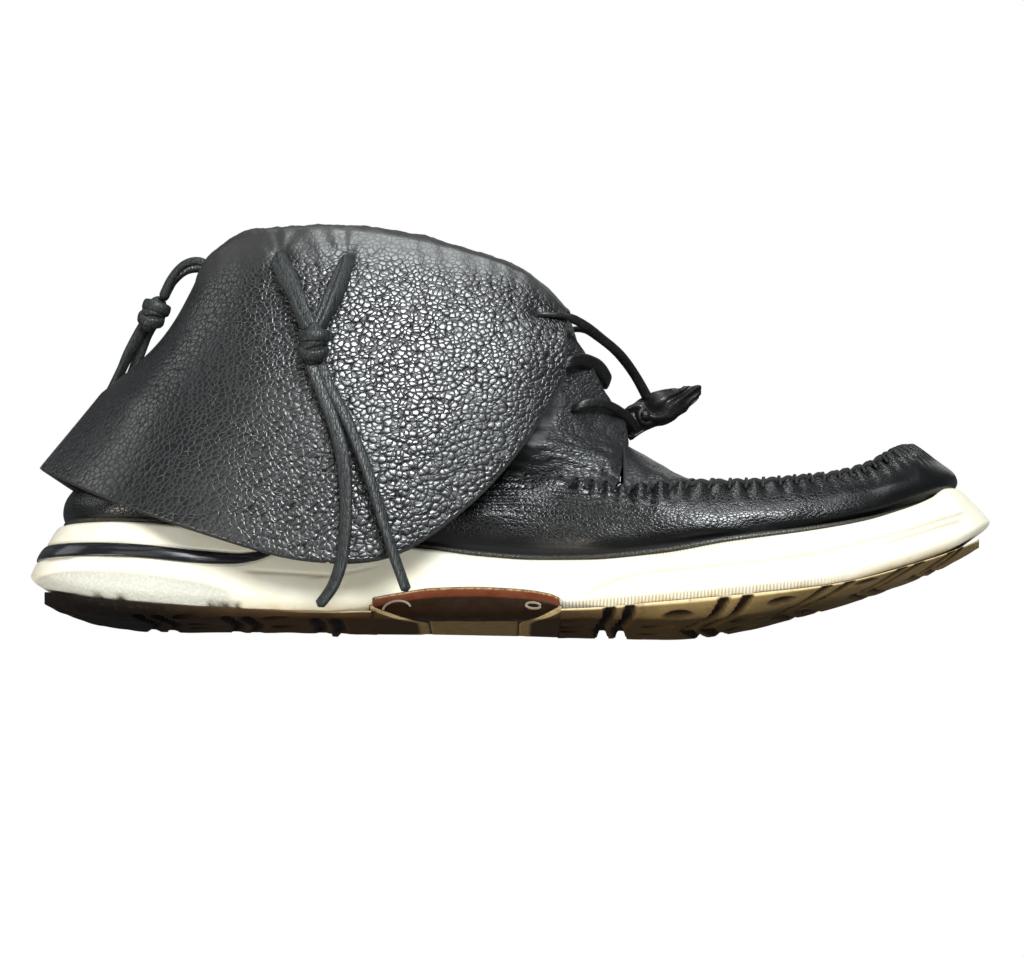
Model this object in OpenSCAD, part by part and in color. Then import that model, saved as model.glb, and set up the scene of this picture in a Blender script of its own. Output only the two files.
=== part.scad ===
// Ankle-high leather moccasin (right shoe) with a folded cape, knotted ties and a
// cushioned trainer sole. Toe along +X, outer side along -Y, ground at z = 0.

/* [Sole] */
// Length of the outsole from heel to toe
sole_l = 300; // [285:5:315]
// Depth of the tread grooves under the forefoot
groove_d = 3; // [2:0.5:4]
// Width of each tread groove
groove_w = 3.2; // [2.5:0.1:4]
// Depth of the cup in the midsole that holds the upper
cup_d = 8; // [7:0.5:9]

/* [Upper] */
// Thickness of the outer leather
leather_t = 2; // [1.6:0.1:2.2]
// Thickness of the padded collar lining
lining_t = 2.4; // [2:0.1:2.8]
// Outward swell of the cape between fold and hem
cape_swell = 3; // [2:0.5:4]
// Radius of the rolled fold at the collar
fold_r = 3; // [2.6:0.1:3.2]

/* [Laces and ties] */
// Diameter of the tie thongs
thong_d = 3.4; // [3:0.1:3.6]
// Diameter of the front lace
lace_d = 2.6; // [2.2:0.1:2.8]
// Radius of the tie knots
knot_r = 5; // [4.5:0.1:5.2]

/* [Hidden] */
half_l = sole_l / 2;
table_l = 150;           // half length the tables along the sole are written for
around = 72;             // points round the sole
side_steps = 20;         // stations along half of the cape
lining_gap = 1;          // clearance between the ankle leather and its lining
board_t = 2;             // insole board under the footbed
footbed_t = 4.3;
welt_h = 1.4;
counter_t = 1.2;
apron_t = 1.8;
tongue_t = 1.8;
thread_d = 1.2;
band_h = 4;              // height of the glossy heel band
waist = [-42.3, 15.3];   // where the heel and forefoot rubber stop at the waist
tread_in = [2.6, 5];     // rubber inside the widest outline: at its top, at the ground
groove_lean = 10;        // degrees the tread grooves lean
seam_arc = [14, 77];     // degrees round the toe that the apron seam covers

// Plan of the sole: width tables multiply the sine of the angle round the sole.
outer_w = [[-150, 74], [-115, 58], [-90, 46.5], [-60, 39.5], [-30, 36.5], [0, 39],
    [30, 47.5], [60, 54.5], [85, 58.5], [105, 61], [122, 63.5], [135, 68], [150, 76]];
inner_w = [[-150, 74], [-115, 58], [-90, 46], [-60, 37.5], [-30, 33], [0, 35.5],
    [30, 44.5], [60, 53.4], [85, 60.5], [105, 65], [122, 69], [135, 74], [150, 82]];
toe_swing = [[-150, 0], [50, 0], [100, 1.5], [150, 4]];

// Heights along the sole.
ground_z = [[-150, 9], [-140, 4], [-126, 1], [-112, 0], [48, 0], [62, 1], [76, 3.4],
    [90, 7], [105, 11], [120, 15.8], [135, 21.4], [145, 26.4], [150, 29.6]];
rubber_z = [[-150, 11], [-126, 6], [-98, 4.4], [-60, 3.4], [15, 3.6], [40, 5], [69, 7.6],
    [94, 10.8], [106, 13.8], [120, 18.2], [135, 23.8], [142, 27.4], [150, 32]];
rim_z = [[-150, 30], [-120, 29.5], [-90, 27.5], [-60, 25], [-30, 22.5], [-10, 19.8],
    [6, 18.8], [22, 19], [44, 21], [66, 25], [91, 29], [110, 33], [122, 37], [135, 42],
    [141, 45], [150, 46]];
stripe_z = [[-150, 20.5], [-120, 19], [-90, 17.5], [-70, 19]];
seam_z = [[-150, 42], [-60, 43.5], [-3, 45], [15, 43.5], [34, 41.5], [47, 42.5],
    [59, 43], [72, 43.5], [86, 45], [100, 46.5], [110, 49], [119, 54.5], [126, 58]];
seam_inset = [[-150, 13.5], [-120, 10], [-60, 8.5], [0, 9.5], [34, 13], [60, 16],
    [85, 17.5], [110, 20], [135, 23.5], [150, 25]];

// Insets of the midsole side from the widest outline: [side, toe, heel].
rim_in = [4, 9.5, 8.5];
cup_in = [6.5, 12, 11];

// Collar fold and cape hem on the outer side, from the throat to the heel.
fold_route = [[16, -25, 98], [2, -31, 109.5], [-22, -36, 117], [-45, -39, 121.5],
    [-64, -38.5, 122.5], [-80, -33, 120], [-92, -20, 115], [-97, 0, 111.5]];
hem_route = [[16, -32, 75], [4, -39, 54], [-13, -45, 34], [-36, -50, 18],
    [-62, -52, 16.5], [-92, -47, 24.5], [-124, -31, 37], [-146, 0, 49]];
quarter_top = [[15, -21.2, 93.5], [1, -27.5, 105], [-22, -32.5, 112.5], [-45, -35.2, 117],
    [-64, -34.7, 118], [-79, -29.5, 115.5], [-89.5, -18, 110.5], [-93.5, 0, 107]];
quarter_foot = [[33, -36, 42.5], [12, -36, 43.5], [-12, -34.5, 45], [-36, -33, 44.5],
    [-62, -32.5, 44], [-92, -31.5, 43.5], [-118, -22, 43], [-131, 0, 43]];
throat_push = [[0, 0.5], [0.18, 4.5], [0.39, 6.5], [0.57, 11.5], [0.69, 11.5],
    [0.92, 2.4], [1, 0]];
throat_pinch = [[0, 0], [0.3, 8], [0.57, 17], [0.7, 17], [0.9, 6], [1, 0]];
cape_split = 4.8;        // where the side cape ends and the heel cape starts
cape_gap = 0.06;
cape_start = 0.065;      // share of the drop hidden by the rolled fold
front_cut = 1.3;         // how far the cape's front edge is cut back at the top
heel_dip = 4.5;          // how far the heel cape sinks in below the fold

// Free tails of the ties.
outer_front_tail = [[-58, -54.5, 73], [-56, -55, 68], [-52, -55.8, 59], [-48, -56.6, 50],
    [-44, -57, 40], [-40, -57, 28], [-36, -57, 17], [-33, -57, 9]];
outer_rear_tail = [[-62, -54.5, 73], [-60, -55, 68], [-56.5, -55.8, 59], [-54, -56.6, 50],
    [-52.5, -57, 40], [-51.5, -57, 30], [-52, -57, 18], [-54.5, -57, 9], [-58.5, -57, 2.4]];
heel_outer_tail = [[-117, 2.2, 93], [-122, 4, 85], [-128, 7, 77], [-133, 11, 70],
    [-138, 15, 62], [-142, 19, 54]];
heel_inner_tail = [[-115.5, 5.8, 93], [-119.5, 9, 85], [-124, 13, 77], [-128, 18, 70],
    [-131, 23, 62]];

// ---- helpers ----
function lerp(a, b, t) = a + (b - a) * t;
function seg(t, x, i = 0) = i >= len(t) - 2 || x < t[i + 1][0] ? i : seg(t, x, i + 1);
function secant(t, i) = (t[i + 1][1] - t[i][1]) / (t[i + 1][0] - t[i][0]);
function slope(t, i) =
    i == 0 || i == len(t) - 1 ? (i == 0 ? secant(t, 0) : secant(t, i - 1))
    : let (a = secant(t, i - 1), b = secant(t, i))
    a * b <= 0 ? 0 : 2 * a * b / (a + b);
// Smooth value of a table [[x, v], ...] with no overshoot between its points.
function curve(t, x) = let (
        q = min(max(x, t[0][0]), t[len(t) - 1][0]),
        i = seg(t, q),
        h = t[i + 1][0] - t[i][0],
        u = (q - t[i][0]) / h)
    (2 * u ^ 3 - 3 * u ^ 2 + 1) * t[i][1] + (u ^ 3 - 2 * u ^ 2 + u) * h * slope(t, i)
    + (3 * u ^ 2 - 2 * u ^ 3) * t[i + 1][1] + (u ^ 3 - u ^ 2) * h * slope(t, i + 1);
// Smooth point on a route of 3D points, s counts points from 0.
function route(p, s) = let (
        i = min(max(floor(s), 0), len(p) - 2),
        u = s - i,
        a = p[max(i - 1, 0)],
        b = p[i],
        c = p[i + 1],
        d = p[min(i + 2, len(p) - 1)])
    0.5 * (2 * b + (c - a) * u + (2 * a - 5 * b + 4 * c - d) * u ^ 2
    + (3 * b - a - 3 * c + d) * u ^ 3);
function unit(v) = v / norm(v);
function mirrored(p) = [p[0], -p[1], p[2]];
function mirrored_all(ps) = [for (p = ps) mirrored(p)];
function joined(g) = [for (r = g) for (p = r) p];

// Outline of the sole at an angle from the toe, towards the inner side.
function scaled_x(x) = x * table_l / half_l;
function plan(a) = let (
        x = half_l * cos(a),
        w = curve(sin(a) > 0 ? inner_w : outer_w, scaled_x(x)))
    [x, curve(toe_swing, scaled_x(x)) + w * sin(a)];
function plan_in(a, d) = let (
        t = plan(a + 1.5) - plan(a - 1.5),
        n = unit([-t[1], t[0]]))
    plan(a) + n * d;
function ends(v, a) = v[0] + (v[1] - v[0]) * max(cos(a), 0) ^ 8
    + (v[2] - v[0]) * max(-cos(a), 0) ^ 8;
function at_z(p, table, lift) = [p[0], p[1], curve(table, scaled_x(p[0])) + lift];
function side_ring(inset, table, lift) = [for (k = [0 : around - 1])
    let (a = k * 360 / around) at_z(plan_in(a, ends(inset, a)), table, lift)];
function blend_ring(a, b, t) = [for (k = [0 : around - 1]) lerp(a[k], b[k], t)];

// Solid between stacked rings of the same point count, closed by strips.
module stack(rings) {
    n = len(rings[0]);
    m = len(rings);
    side = [for (i = [0 : m - 2]) for (k = [0 : n - 1]) let (j = (k + 1) % n)
        [i * n + k, (i + 1) * n + k, (i + 1) * n + j, i * n + j]];
    foot = [for (k = [0 : n / 2 - 1]) k == 0 ? [0, 1, n - 1]
        : k == n / 2 - 1 ? [k, k + 1, n - k] : [k, k + 1, n - k - 1, n - k]];
    top = [for (f = foot) [for (q = [len(f) - 1 : -1 : 0]) f[q] + (m - 1) * n]];
    polyhedron(joined(rings), concat(side, foot, top), convexity = 8);
}

// Solid between two matching grids; rows may close on themselves.
module sheet(outer, inner, closed = false) {
    n = len(outer);
    m = len(outer[0]);
    last = closed ? n - 1 : n - 2;
    o = n * m;
    face_out = [for (i = [0 : last]) for (j = [0 : m - 2]) let (h = (i + 1) % n)
        [i * m + j, i * m + j + 1, h * m + j + 1, h * m + j]];
    face_in = [for (f = face_out) [f[3] + o, f[2] + o, f[1] + o, f[0] + o]];
    low = [for (i = [0 : last]) let (h = (i + 1) % n)
        [i * m, h * m, h * m + o, i * m + o]];
    high = [for (i = [0 : last]) let (h = (i + 1) % n)
        [h * m + m - 1, i * m + m - 1, i * m + m - 1 + o, h * m + m - 1 + o]];
    first = closed ? [] : [for (j = [0 : m - 2]) [j + 1, j, j + o, j + 1 + o]];
    e = (n - 1) * m;
    final = closed ? [] : [for (j = [0 : m - 2])
        [e + j, e + j + 1, e + j + 1 + o, e + j + o]];
    polyhedron(concat(joined(outer), joined(inner)),
        concat(face_out, face_in, low, high, first, final), convexity = 8);
}

// Round tube along a route, as one closed polyhedron.
module tube(points, d, rings, sides = 8, ref = [0, 1, 0]) {
    s = [for (i = [0 : rings]) i * (len(points) - 1) / rings];
    mid = [for (q = s) route(points, q)];
    n = len(mid);
    dir = [for (i = [0 : n - 1]) unit(mid[min(i + 1, n - 1)] - mid[max(i - 1, 0)])];
    pts = [for (i = [0 : n - 1]) let (
            a = unit(cross(dir[i], ref)),
            b = cross(dir[i], a))
        for (k = [0 : sides - 1]) mid[i] + d / 2 * (a * cos(k * 360 / sides)
        + b * sin(k * 360 / sides))];
    skin = [for (i = [0 : n - 2]) for (k = [0 : sides - 1]) let (j = (k + 1) % sides)
        [i * sides + k, (i + 1) * sides + k, (i + 1) * sides + j, i * sides + j]];
    start = [for (k = [0 : sides - 1]) k];
    end = [for (k = [sides - 1 : -1 : 0]) k + (n - 1) * sides];
    polyhedron(pts, concat(skin, [start, end]), convexity = 4);
}

// Barrel-shaped knot standing along its own axis.
module knot(pos, dir, r, h) {
    turn = acos(unit(dir)[2]);
    spin = atan2(dir[1], dir[0]);
    translate(pos) rotate([0, turn, spin]) rotate_extrude($fn = 24)
        polygon([[0, -h / 2], [r * 0.7, -h / 2], [r, -h / 5], [r, h / 5],
            [r * 0.7, h / 2], [0, h / 2]]);
}

// ---- sole ----
function outline_y(x, side) = let (
        s = sqrt(max(1 - (x / half_l) ^ 2, 0.0004)),
        w = curve(side > 0 ? inner_w : outer_w, scaled_x(x)))
    curve(toe_swing, scaled_x(x)) + side * w * s;
function tread_row(x, shares, inset, table) = let (
        a = outline_y(x, -1) + inset,
        b = outline_y(x, 1) - inset)
    [for (t = shares) [x, lerp(a, b, t), curve(table, scaled_x(x))]];
module tread(x0, x1, steps) {
    xs = [for (i = [0 : steps]) lerp(x0, x1, sin(90 * i / steps))];
    q = [0, 0.25, 0.5, 0.75, 1];
    top = [for (x = xs) tread_row(x, q, tread_in[0], rubber_z)];
    foot = [for (x = xs) tread_row(x, q, tread_in[1], ground_z)];
    if (x1 > x0) sheet(top, foot);
    else sheet(foot, top);
}
groove_x = [33, 39, 68, 75, 101, 108, 125, 131];
function groove_top(x) = let (
        low = curve(ground_z, scaled_x(x)),
        high = curve(rubber_z, scaled_x(x)))
    min(low + groove_d, lerp(low, high, 0.6));
module outsole_forefoot() color("tan") difference() {
    tread(waist[1], half_l - 3.5, 30);
    for (x = groove_x)
        translate([x, 0, groove_top(x) - 5]) rotate([0, 0, groove_lean])
            cube([groove_w, 140, 10], center = true);
}
module outsole_heel() color("saddlebrown") tread(waist[0], -half_l + 4.5, 24);

module midsole() color("ivory") {
    foot = side_ring([2.6, 3.5, 4], rubber_z, 0);
    rim = side_ring(rim_in, rim_z, 0);
    belly = side_ring([0, 0, 0], rubber_z, 4);
    cup_top = side_ring(cup_in, rim_z, 0);
    cup_floor = side_ring(cup_in, rim_z, -cup_d);
    stack([foot, belly, blend_ring(belly, rim, 0.5), rim, cup_top, cup_floor]);
}

// Glossy band round the heel of the midsole.
function stripe_line(a, inset) = let (p = plan_in(a, ends(inset, a)))
    [for (h = [0, band_h / 2, band_h]) [p[0], p[1], curve(stripe_z, scaled_x(p[0])) + h]];
module heel_stripe() color("black") {
    arc = [for (k = [0 : 32]) 127 + k * 106 / 32];
    inset = [1, 2, 3];
    sheet([for (a = arc) stripe_line(a, inset - [1, 1, 1])],
        [for (a = arc) stripe_line(a, inset + [1.6, 1.6, 1.6])]);
}

// Moulded shank that bridges the waist and laps up both sides.
shank_x = [for (i = [0 : 12]) lerp(waist[0] + 0.5, waist[1] - 0.5, i / 12)];
function lip_z(x) = 3.4 + 6.2 * (1 - ((x + 13.5) / 28.6) ^ 2) ^ 0.5;
module shank_plate() color("saddlebrown") {
    outer = [for (x = shank_x) let (a = outline_y(x, -1), b = outline_y(x, 1))
        [[x, a - 0.8, lip_z(x)], [x, a + 1, 3.4], [x, a + 4.5, 0.6], [x, a / 2, 0.4],
        [x, b / 2, 0.4], [x, b - 4.5, 0.6], [x, b - 1, 3.4], [x, b + 0.8, lip_z(x)]]];
    inner = [for (x = shank_x) let (a = outline_y(x, -1), b = outline_y(x, 1))
        [[x, a + 1.4, lip_z(x)], [x, a + 2.6, 3.5], [x, a + 5, 3.4], [x, a / 2, 3.4],
        [x, b / 2, 3.4], [x, b - 5, 3.4], [x, b - 2.6, 3.5], [x, b - 1.4, lip_z(x)]]];
    sheet(inner, outer);
}

module insole_board() color("tan") stack([
    side_ring([6.7, 12.2, 11.2], rim_z, -cup_d),
    side_ring([6.7, 12.2, 11.2], rim_z, board_t - cup_d)]);
module footbed() color("dimgray") stack([
    side_ring([9.5, 17, 15], rim_z, board_t - cup_d + 0.2),
    side_ring([9.5, 17, 15], rim_z, board_t - cup_d + 0.2 + footbed_t)]);
module welt() color("black") {
    out_low = side_ring([5.2, 10.6, 9.6], rim_z, 0);
    out_high = side_ring([5.2, 10.6, 9.6], rim_z, welt_h);
    in_low = side_ring([6.4, 11.9, 10.9], rim_z, 0);
    in_high = side_ring([6.4, 11.9, 10.9], rim_z, welt_h);
    sheet([for (k = [0 : around - 1]) [out_low[k], out_high[k]]],
        [for (k = [0 : around - 1]) [in_low[k], in_high[k]]], closed = true);
}

// ---- upper ----
// Point on the outer face of the wall: angle a, height share v, depth d into the shoe.
function wall(a, v, d) = let (
        foot_in = ends([6.6, 12.2, 11.2], a),
        seam_in = curve(seam_inset, scaled_x(plan(a)[0])),
        swell = (2.8 + 2.5 * max(cos(a), 0) ^ 4) * sin(180 * max(v - 0.32, 0) / 0.68),
        p = plan_in(a, lerp(foot_in, seam_in, v ^ 1.7) - swell + d),
        low = curve(rim_z, scaled_x(p[0])) - cup_d + board_t,
        high = curve(seam_z, scaled_x(p[0])))
    [p[0], p[1], lerp(low, high, v)];
wall_v = [0, 0.32, 0.48, 0.64, 0.82, 1];
module moccasin_wall() color("#1c1c1e") {
    arc = [for (k = [0 : around - 1]) k * 360 / around];
    sheet([for (a = arc) [for (v = wall_v) wall(a, v, 0)]],
        [for (a = arc) [for (v = wall_v) wall(a, v, leather_t)]], closed = true);
}
counter_v = [0.32, 0.48, 0.64, 0.82, 0.96];
module heel_counter() color("dimgray") {
    arc = [for (k = [0 : 24]) 126 + k * 108 / 24];
    d = leather_t + 0.2;
    sheet([for (a = arc) [for (v = counter_v) wall(a, v, d)]],
        [for (a = arc) [for (v = counter_v) wall(a, v, d + counter_t)]]);
}

// Apron (plug) over the toes, rising to the instep.
apron_mid = [[22, 66], [30, 64.5], [37, 60.5], [47, 52.5], [56, 46], [70, 43.5],
    [86, 44.5], [100, 46], [112, 49.5], [122, 55]];
apron_steps = 22;
function apron_at(a, q, drop) = let (
        l = wall(360 - a, 1, 1),
        r = wall(a, 1, 1),
        x = (l[0] + r[0]) / 2,
        z = lerp(l[2], r[2], 0.5),
        mid = curve(apron_mid, x),
        bow = 1 - (2 * q - 1) ^ 2)
    [lerp(l[0], r[0], q), lerp(l[1], r[1], q), z + 0.6 + (mid - z) * bow ^ 0.8 - drop];
module apron() color("#222224") {
    arc = [for (i = [0 : apron_steps]) lerp(seam_arc[0], seam_arc[1], i / apron_steps)];
    share = [for (i = [0 : 10]) i / 10];
    sheet([for (a = arc) [for (q = share) apron_at(a, q, apron_t)]],
        [for (a = arc) [for (q = share) apron_at(a, q, 0)]]);
}
stitch_count = 22;
module apron_stitches() color("black")
    for (side = [-1, 1])
        for (i = [0 : stitch_count - 1]) {
            a = side * lerp(seam_arc[0], seam_arc[1] - 1, i / (stitch_count - 1));
            p = wall(a, 1, 0);
            q = wall(a, 1, 4.5);
            c = [p[0], p[1], p[2] + 0.5];
            e = [q[0], q[1], p[2] + 1.6];
            tube([c, (c + e) / 2 + [0, 0, 0.8], e], thread_d, 2, 6);
        }

// Ankle leather: s runs along the half from the throat to the heel, v from top down.
function quarter_at(s, v, d) = let (
        t = route(quarter_top, s),
        b = route(quarter_foot, s),
        near = max(1 - s / 2.2, 0) ^ 1.5,
        push = curve(throat_push, v) * near,
        pinch = curve(throat_pinch, v) * near,
        p = lerp(t, b, v) + [push, pinch, 0],
        heel = min(s / 7, 1),
        n = unit([0.1 + heel ^ 4 * 1.6, 1.0001 - heel ^ 6, 0]))
    p + n * d + [0, 0, -d * 0.6 * near * sin(180 * v)];
quarter_s = [for (i = [0 : 18]) i * 7 / 18];
quarter_v = [0, 0.15, 0.3, 0.45, 0.6, 0.75, 0.88, 1];
module quarter_half() {
    sheet([for (s = quarter_s) [for (v = quarter_v) quarter_at(s, v, 0)]],
        [for (s = quarter_s) [for (v = quarter_v) quarter_at(s, v, leather_t)]]);
}
module quarter_lateral() color("#202022") quarter_half();
module quarter_medial() color("#202022") mirror([0, 1, 0]) quarter_half();
module collar_lining() color("#3a3632") {
    lining_s = [for (i = [0 : 14]) 1.2 + i * 5.8 / 14];
    d = leather_t + lining_gap;
    near = [for (s = lining_s) [for (v = [0.02, 0.3, 0.6, 0.9]) quarter_at(s, v, d)]];
    far = [for (s = lining_s) [for (v = [0.02, 0.3, 0.6, 0.9])
        quarter_at(s, v, d + lining_t)]];
    back = [for (i = [13 : -1 : 0]) mirrored_all(near[i])];
    back_far = [for (i = [13 : -1 : 0]) mirrored_all(far[i])];
    sheet(concat(near, back), concat(far, back_far));
}

// Rolled fold at the top of the collar, from throat to throat.
fold_half = [for (p = quarter_top) p + [0, 0, 4.4 - fold_r]];
fold_full = concat(fold_half, [for (i = [6 : -1 : 0]) mirrored(fold_half[i])]);
module collar_fold() color("#262628") tube(fold_full, 2 * fold_r, 48, 10);

// Cape that hangs outside the collar: s along the half, v from fold to hem.
function cape_at(s, v, d) = let (
        f = route(fold_route, s),
        h = route(hem_route, s),
        heel = max(s - 4.5, 0) / 2.5,
        n = unit([-1.2 * heel ^ 1.5 - 0.05, heel ^ 2 - 1.0001, 0.25]),
        dip = heel_dip * heel ^ 2 * sin(180 * min(v / 0.62, 1)))
    lerp(f, h, v) + n * (cape_swell * (1 - heel) * sin(180 * v) - dip + d);
cape_v = [for (i = [0 : 8]) lerp(cape_start, 1, i / 8)];
function cape_row(t, d) = [for (v = cape_v)
    cape_at(lerp(front_cut * (1 - v), cape_split - cape_gap, t), v, d)];
module flap_half() sheet([for (i = [0 : side_steps]) cape_row(i / side_steps, leather_t)],
    [for (i = [0 : side_steps]) cape_row(i / side_steps, 0)]);
module flap_lateral() color("#242427") flap_half();
module flap_medial() color("#242427") mirror([0, 1, 0]) flap_half();
module flap_back() color("#242427") {
    rows = [for (i = [0 : 10]) lerp(cape_split, 7, i / 10)];
    near = [for (s = rows) [for (v = cape_v) cape_at(s, v, leather_t)]];
    far = [for (s = rows) [for (v = cape_v) cape_at(s, v, 0)]];
    back = [for (i = [9 : -1 : 0]) mirrored_all(near[i])];
    back_far = [for (i = [9 : -1 : 0]) mirrored_all(far[i])];
    sheet(concat(near, back), concat(far, back_far));
}

// Tongue behind the laces, hinged at its foot on the apron.
tongue_mid = [[31, 60.5], [23.5, 69.5], [14.5, 82.5], [6.5, 96], [1, 104.5]];
tongue_half_w = [[0, 17], [1, 17], [2, 18], [3, 20], [4, 17]];
function tongue_at(k, q, d) = let (
        m = route([for (p = tongue_mid) [p[0], 0, p[1]]], k),
        w = curve(tongue_half_w, k))
    [m[0] - 5 * q ^ 2 - d * 0.8, w * q, m[2] - 3 * q ^ 2 - d * 0.6];
module tongue() color("#1e1e20") {
    ks = [for (i = [0 : 12]) i / 3];
    qs = [for (i = [-4 : 4]) i / 4];
    sheet([for (k = ks) [for (q = qs) tongue_at(k, q, tongue_t)]],
        [for (k = ks) [for (q = qs) tongue_at(k, q, 0)]]);
}

// ---- front lace ----
module lace_span(points, rings) color("#151515")
    tube(points, lace_d, rings, ref = [0, 0, 1]);
module lower_lace() lace_span([[22, -22, 67], [28, -19, 69], [35, -13, 67.5],
    [39, -6, 65], [40, 0, 64.5], [39, 6, 65], [35, 13, 67.5], [28, 19, 69],
    [22, 22, 67]], 20);
module middle_lace() lace_span([[17, -25, 80], [22, -21, 82], [28, -13, 81],
    [32, 0, 78.5], [28, 13, 81], [22, 21, 82], [17, 25, 80]], 20);
module top_lace() for (side = [-1, 1])
    lace_span([for (p = [[7, -28.5, 95], [14, -27.5, 95.5], [22, -22, 92.5], [30, -15, 87],
        [37, -9, 79], [42, -4, 72]]) [p[0], -side * p[1], p[2]]], 14);
module lace_knot() color("#151515") knot([43.5, 0, 67], [0, 1, 0], 4.2, 11);
module bow_loops() color("#151515") for (side = [-1, 1])
    sheet([for (i = [0 : 6]) [for (h = [-side, 0, side]) bow_at(i / 6, h, side, 0)]],
        [for (i = [0 : 6]) [for (h = [-side, 0, side]) bow_at(i / 6, h, side, 2.2)]]);
function bow_at(t, h, side, d) = let (w = 4.4 * sin(40 + 110 * t))
    [49.8 + 11 * t - 1.5 * h, side * (1.2 + 5 * t + d), 68 + 6 * t + w * h];

// ---- ties ----
knot_at = [-60.2, -54.2, 81.5];
tie_holes = [[-71.5, -37.5, 108.5], [-51, -38.5, 107.5]];
module side_strands() for (hole = tie_holes) let (lean = hole[0] < knot_at[0] ? -1 : 1)
    tube([hole, hole + [0, -7.5, 0.8], [knot_at[0] + lean * 5.5, -50, 97],
        [knot_at[0] + lean * 2, knot_at[1], knot_at[2] + 6.8]], thong_d, 12,
        ref = [1, 0, 0]);
module side_knot() knot(knot_at, [0.08, -0.05, 1], knot_r, 10);
module tail(points) color("#1b1b1b") tube(points, thong_d, 14);
module lateral_tie_strands() color("#1b1b1b") side_strands();
module lateral_tie_knot() color("#1b1b1b") side_knot();
module lateral_tail_front() tail(outer_front_tail);
module lateral_tail_rear() tail(outer_rear_tail);
module medial_tie_strands() color("#1b1b1b") mirror([0, 1, 0]) side_strands();
module medial_tie_knot() color("#1b1b1b") mirror([0, 1, 0]) side_knot();
module medial_tail_front() tail(mirrored_all(outer_front_tail));
module medial_tail_rear() tail(mirrored_all(outer_rear_tail));
module back_tie_strands() color("#1b1b1b") for (side = [-1, 1])
    tube([[-95.5, 8 * side, 107], [-103, 7 * side, 108.5], [-107, 4 * side, 106],
        [-110, 2.2 * side, 104.8]], thong_d, 8);
module back_tie_knot() color("#1b1b1b") knot([-113.4, 1, 98.6], [0.45, 0, 1], knot_r - 0.6, 9);
module back_tail_outer() tail(heel_outer_tail);
module back_tail_inner() tail(heel_inner_tail);

outsole_forefoot();
outsole_heel();
midsole();
heel_stripe();
shank_plate();
insole_board();
footbed();
heel_counter();
welt();
moccasin_wall();
apron();
apron_stitches();
quarter_lateral();
quarter_medial();
collar_lining();
collar_fold();
tongue();
flap_back();
flap_lateral();
flap_medial();
lower_lace();
middle_lace();
top_lace();
lace_knot();
bow_loops();
lateral_tie_strands();
lateral_tie_knot();
lateral_tail_front();
lateral_tail_rear();
medial_tie_strands();
medial_tie_knot();
medial_tail_front();
medial_tail_rear();
back_tie_strands();
back_tie_knot();
back_tail_outer();
back_tail_inner();
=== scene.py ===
"""Looks of an ankle-high leather moccasin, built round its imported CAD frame.

Points are worked out in millimetres in the CAD frame (toe +X, outer side -Y, ground z = 0)
and turned into metres only when a mesh is made.
"""
import math

import bmesh
import bpy
import numpy as np
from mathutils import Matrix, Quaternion, Vector


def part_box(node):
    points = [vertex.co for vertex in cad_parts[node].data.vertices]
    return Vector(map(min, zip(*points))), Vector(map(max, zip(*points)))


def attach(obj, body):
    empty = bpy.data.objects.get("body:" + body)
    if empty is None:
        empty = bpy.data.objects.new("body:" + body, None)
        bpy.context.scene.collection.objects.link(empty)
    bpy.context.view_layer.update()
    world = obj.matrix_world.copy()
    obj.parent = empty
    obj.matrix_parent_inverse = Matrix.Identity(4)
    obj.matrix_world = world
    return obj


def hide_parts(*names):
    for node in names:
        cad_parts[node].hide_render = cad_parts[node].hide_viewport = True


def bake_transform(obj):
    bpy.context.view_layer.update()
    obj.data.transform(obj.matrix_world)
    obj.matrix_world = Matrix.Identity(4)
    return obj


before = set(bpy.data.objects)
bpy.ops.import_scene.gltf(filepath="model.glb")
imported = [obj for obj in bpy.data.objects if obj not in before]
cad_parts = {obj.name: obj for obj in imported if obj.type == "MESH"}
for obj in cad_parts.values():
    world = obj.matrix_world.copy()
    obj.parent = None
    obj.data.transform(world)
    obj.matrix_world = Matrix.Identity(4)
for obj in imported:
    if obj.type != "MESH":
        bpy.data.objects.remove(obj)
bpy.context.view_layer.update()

MM = 0.001
SIDES = (("lateral", 1), ("medial", -1))     # the medial side is the lateral one mirrored in y
SHARP = math.radians(62)     # faces that meet at a sharper angle are not shaded as one
SOLE_L = 1000 * (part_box("midsole")[1][0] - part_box("midsole")[0][0])
HALF = SOLE_L / 2

# ---- driving sizes; the tables of heights are within 4 mm of those of the CAD frame ----
LEATHER_T = 2.0
LINING_T = 2.4
LINING_GAP = 1.0
CUP_D = 8.0
BOARD_T = 2.0
CAPE_SWELL = 3.0
HEEL_DIP = 4.5
THONG_W = 3.4
HEEL_S = 7               # s counts the points of the ankle and cape routes, up to the heel's middle
HEEL_FROM_S = 4.5        # where the cape starts to turn round the heel
OUTER_W = [(-150, 74), (-115, 58), (-90, 46.5), (-60, 39.5), (-30, 36.5), (0, 39), (30, 47.5),
           (60, 54.5), (85, 58.5), (105, 61), (122, 63.5), (135, 68), (150, 76)]
INNER_W = [(-150, 74), (-115, 58), (-90, 46), (-60, 37.5), (-30, 33), (0, 35.5), (30, 44.5),
           (60, 53.4), (85, 60.5), (105, 65), (122, 69), (135, 74), (150, 82)]
TOE_SWING = [(-150, 0), (50, 0), (100, 1.5), (150, 4)]
GROUND_Z = [(-150, 9), (-140, 4), (-126, 1), (-112, 0), (48, 0), (62, 1), (76, 3.4), (90, 7),
            (105, 11), (120, 15.8), (135, 21.4), (145, 26.4), (150, 29.6)]
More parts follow.
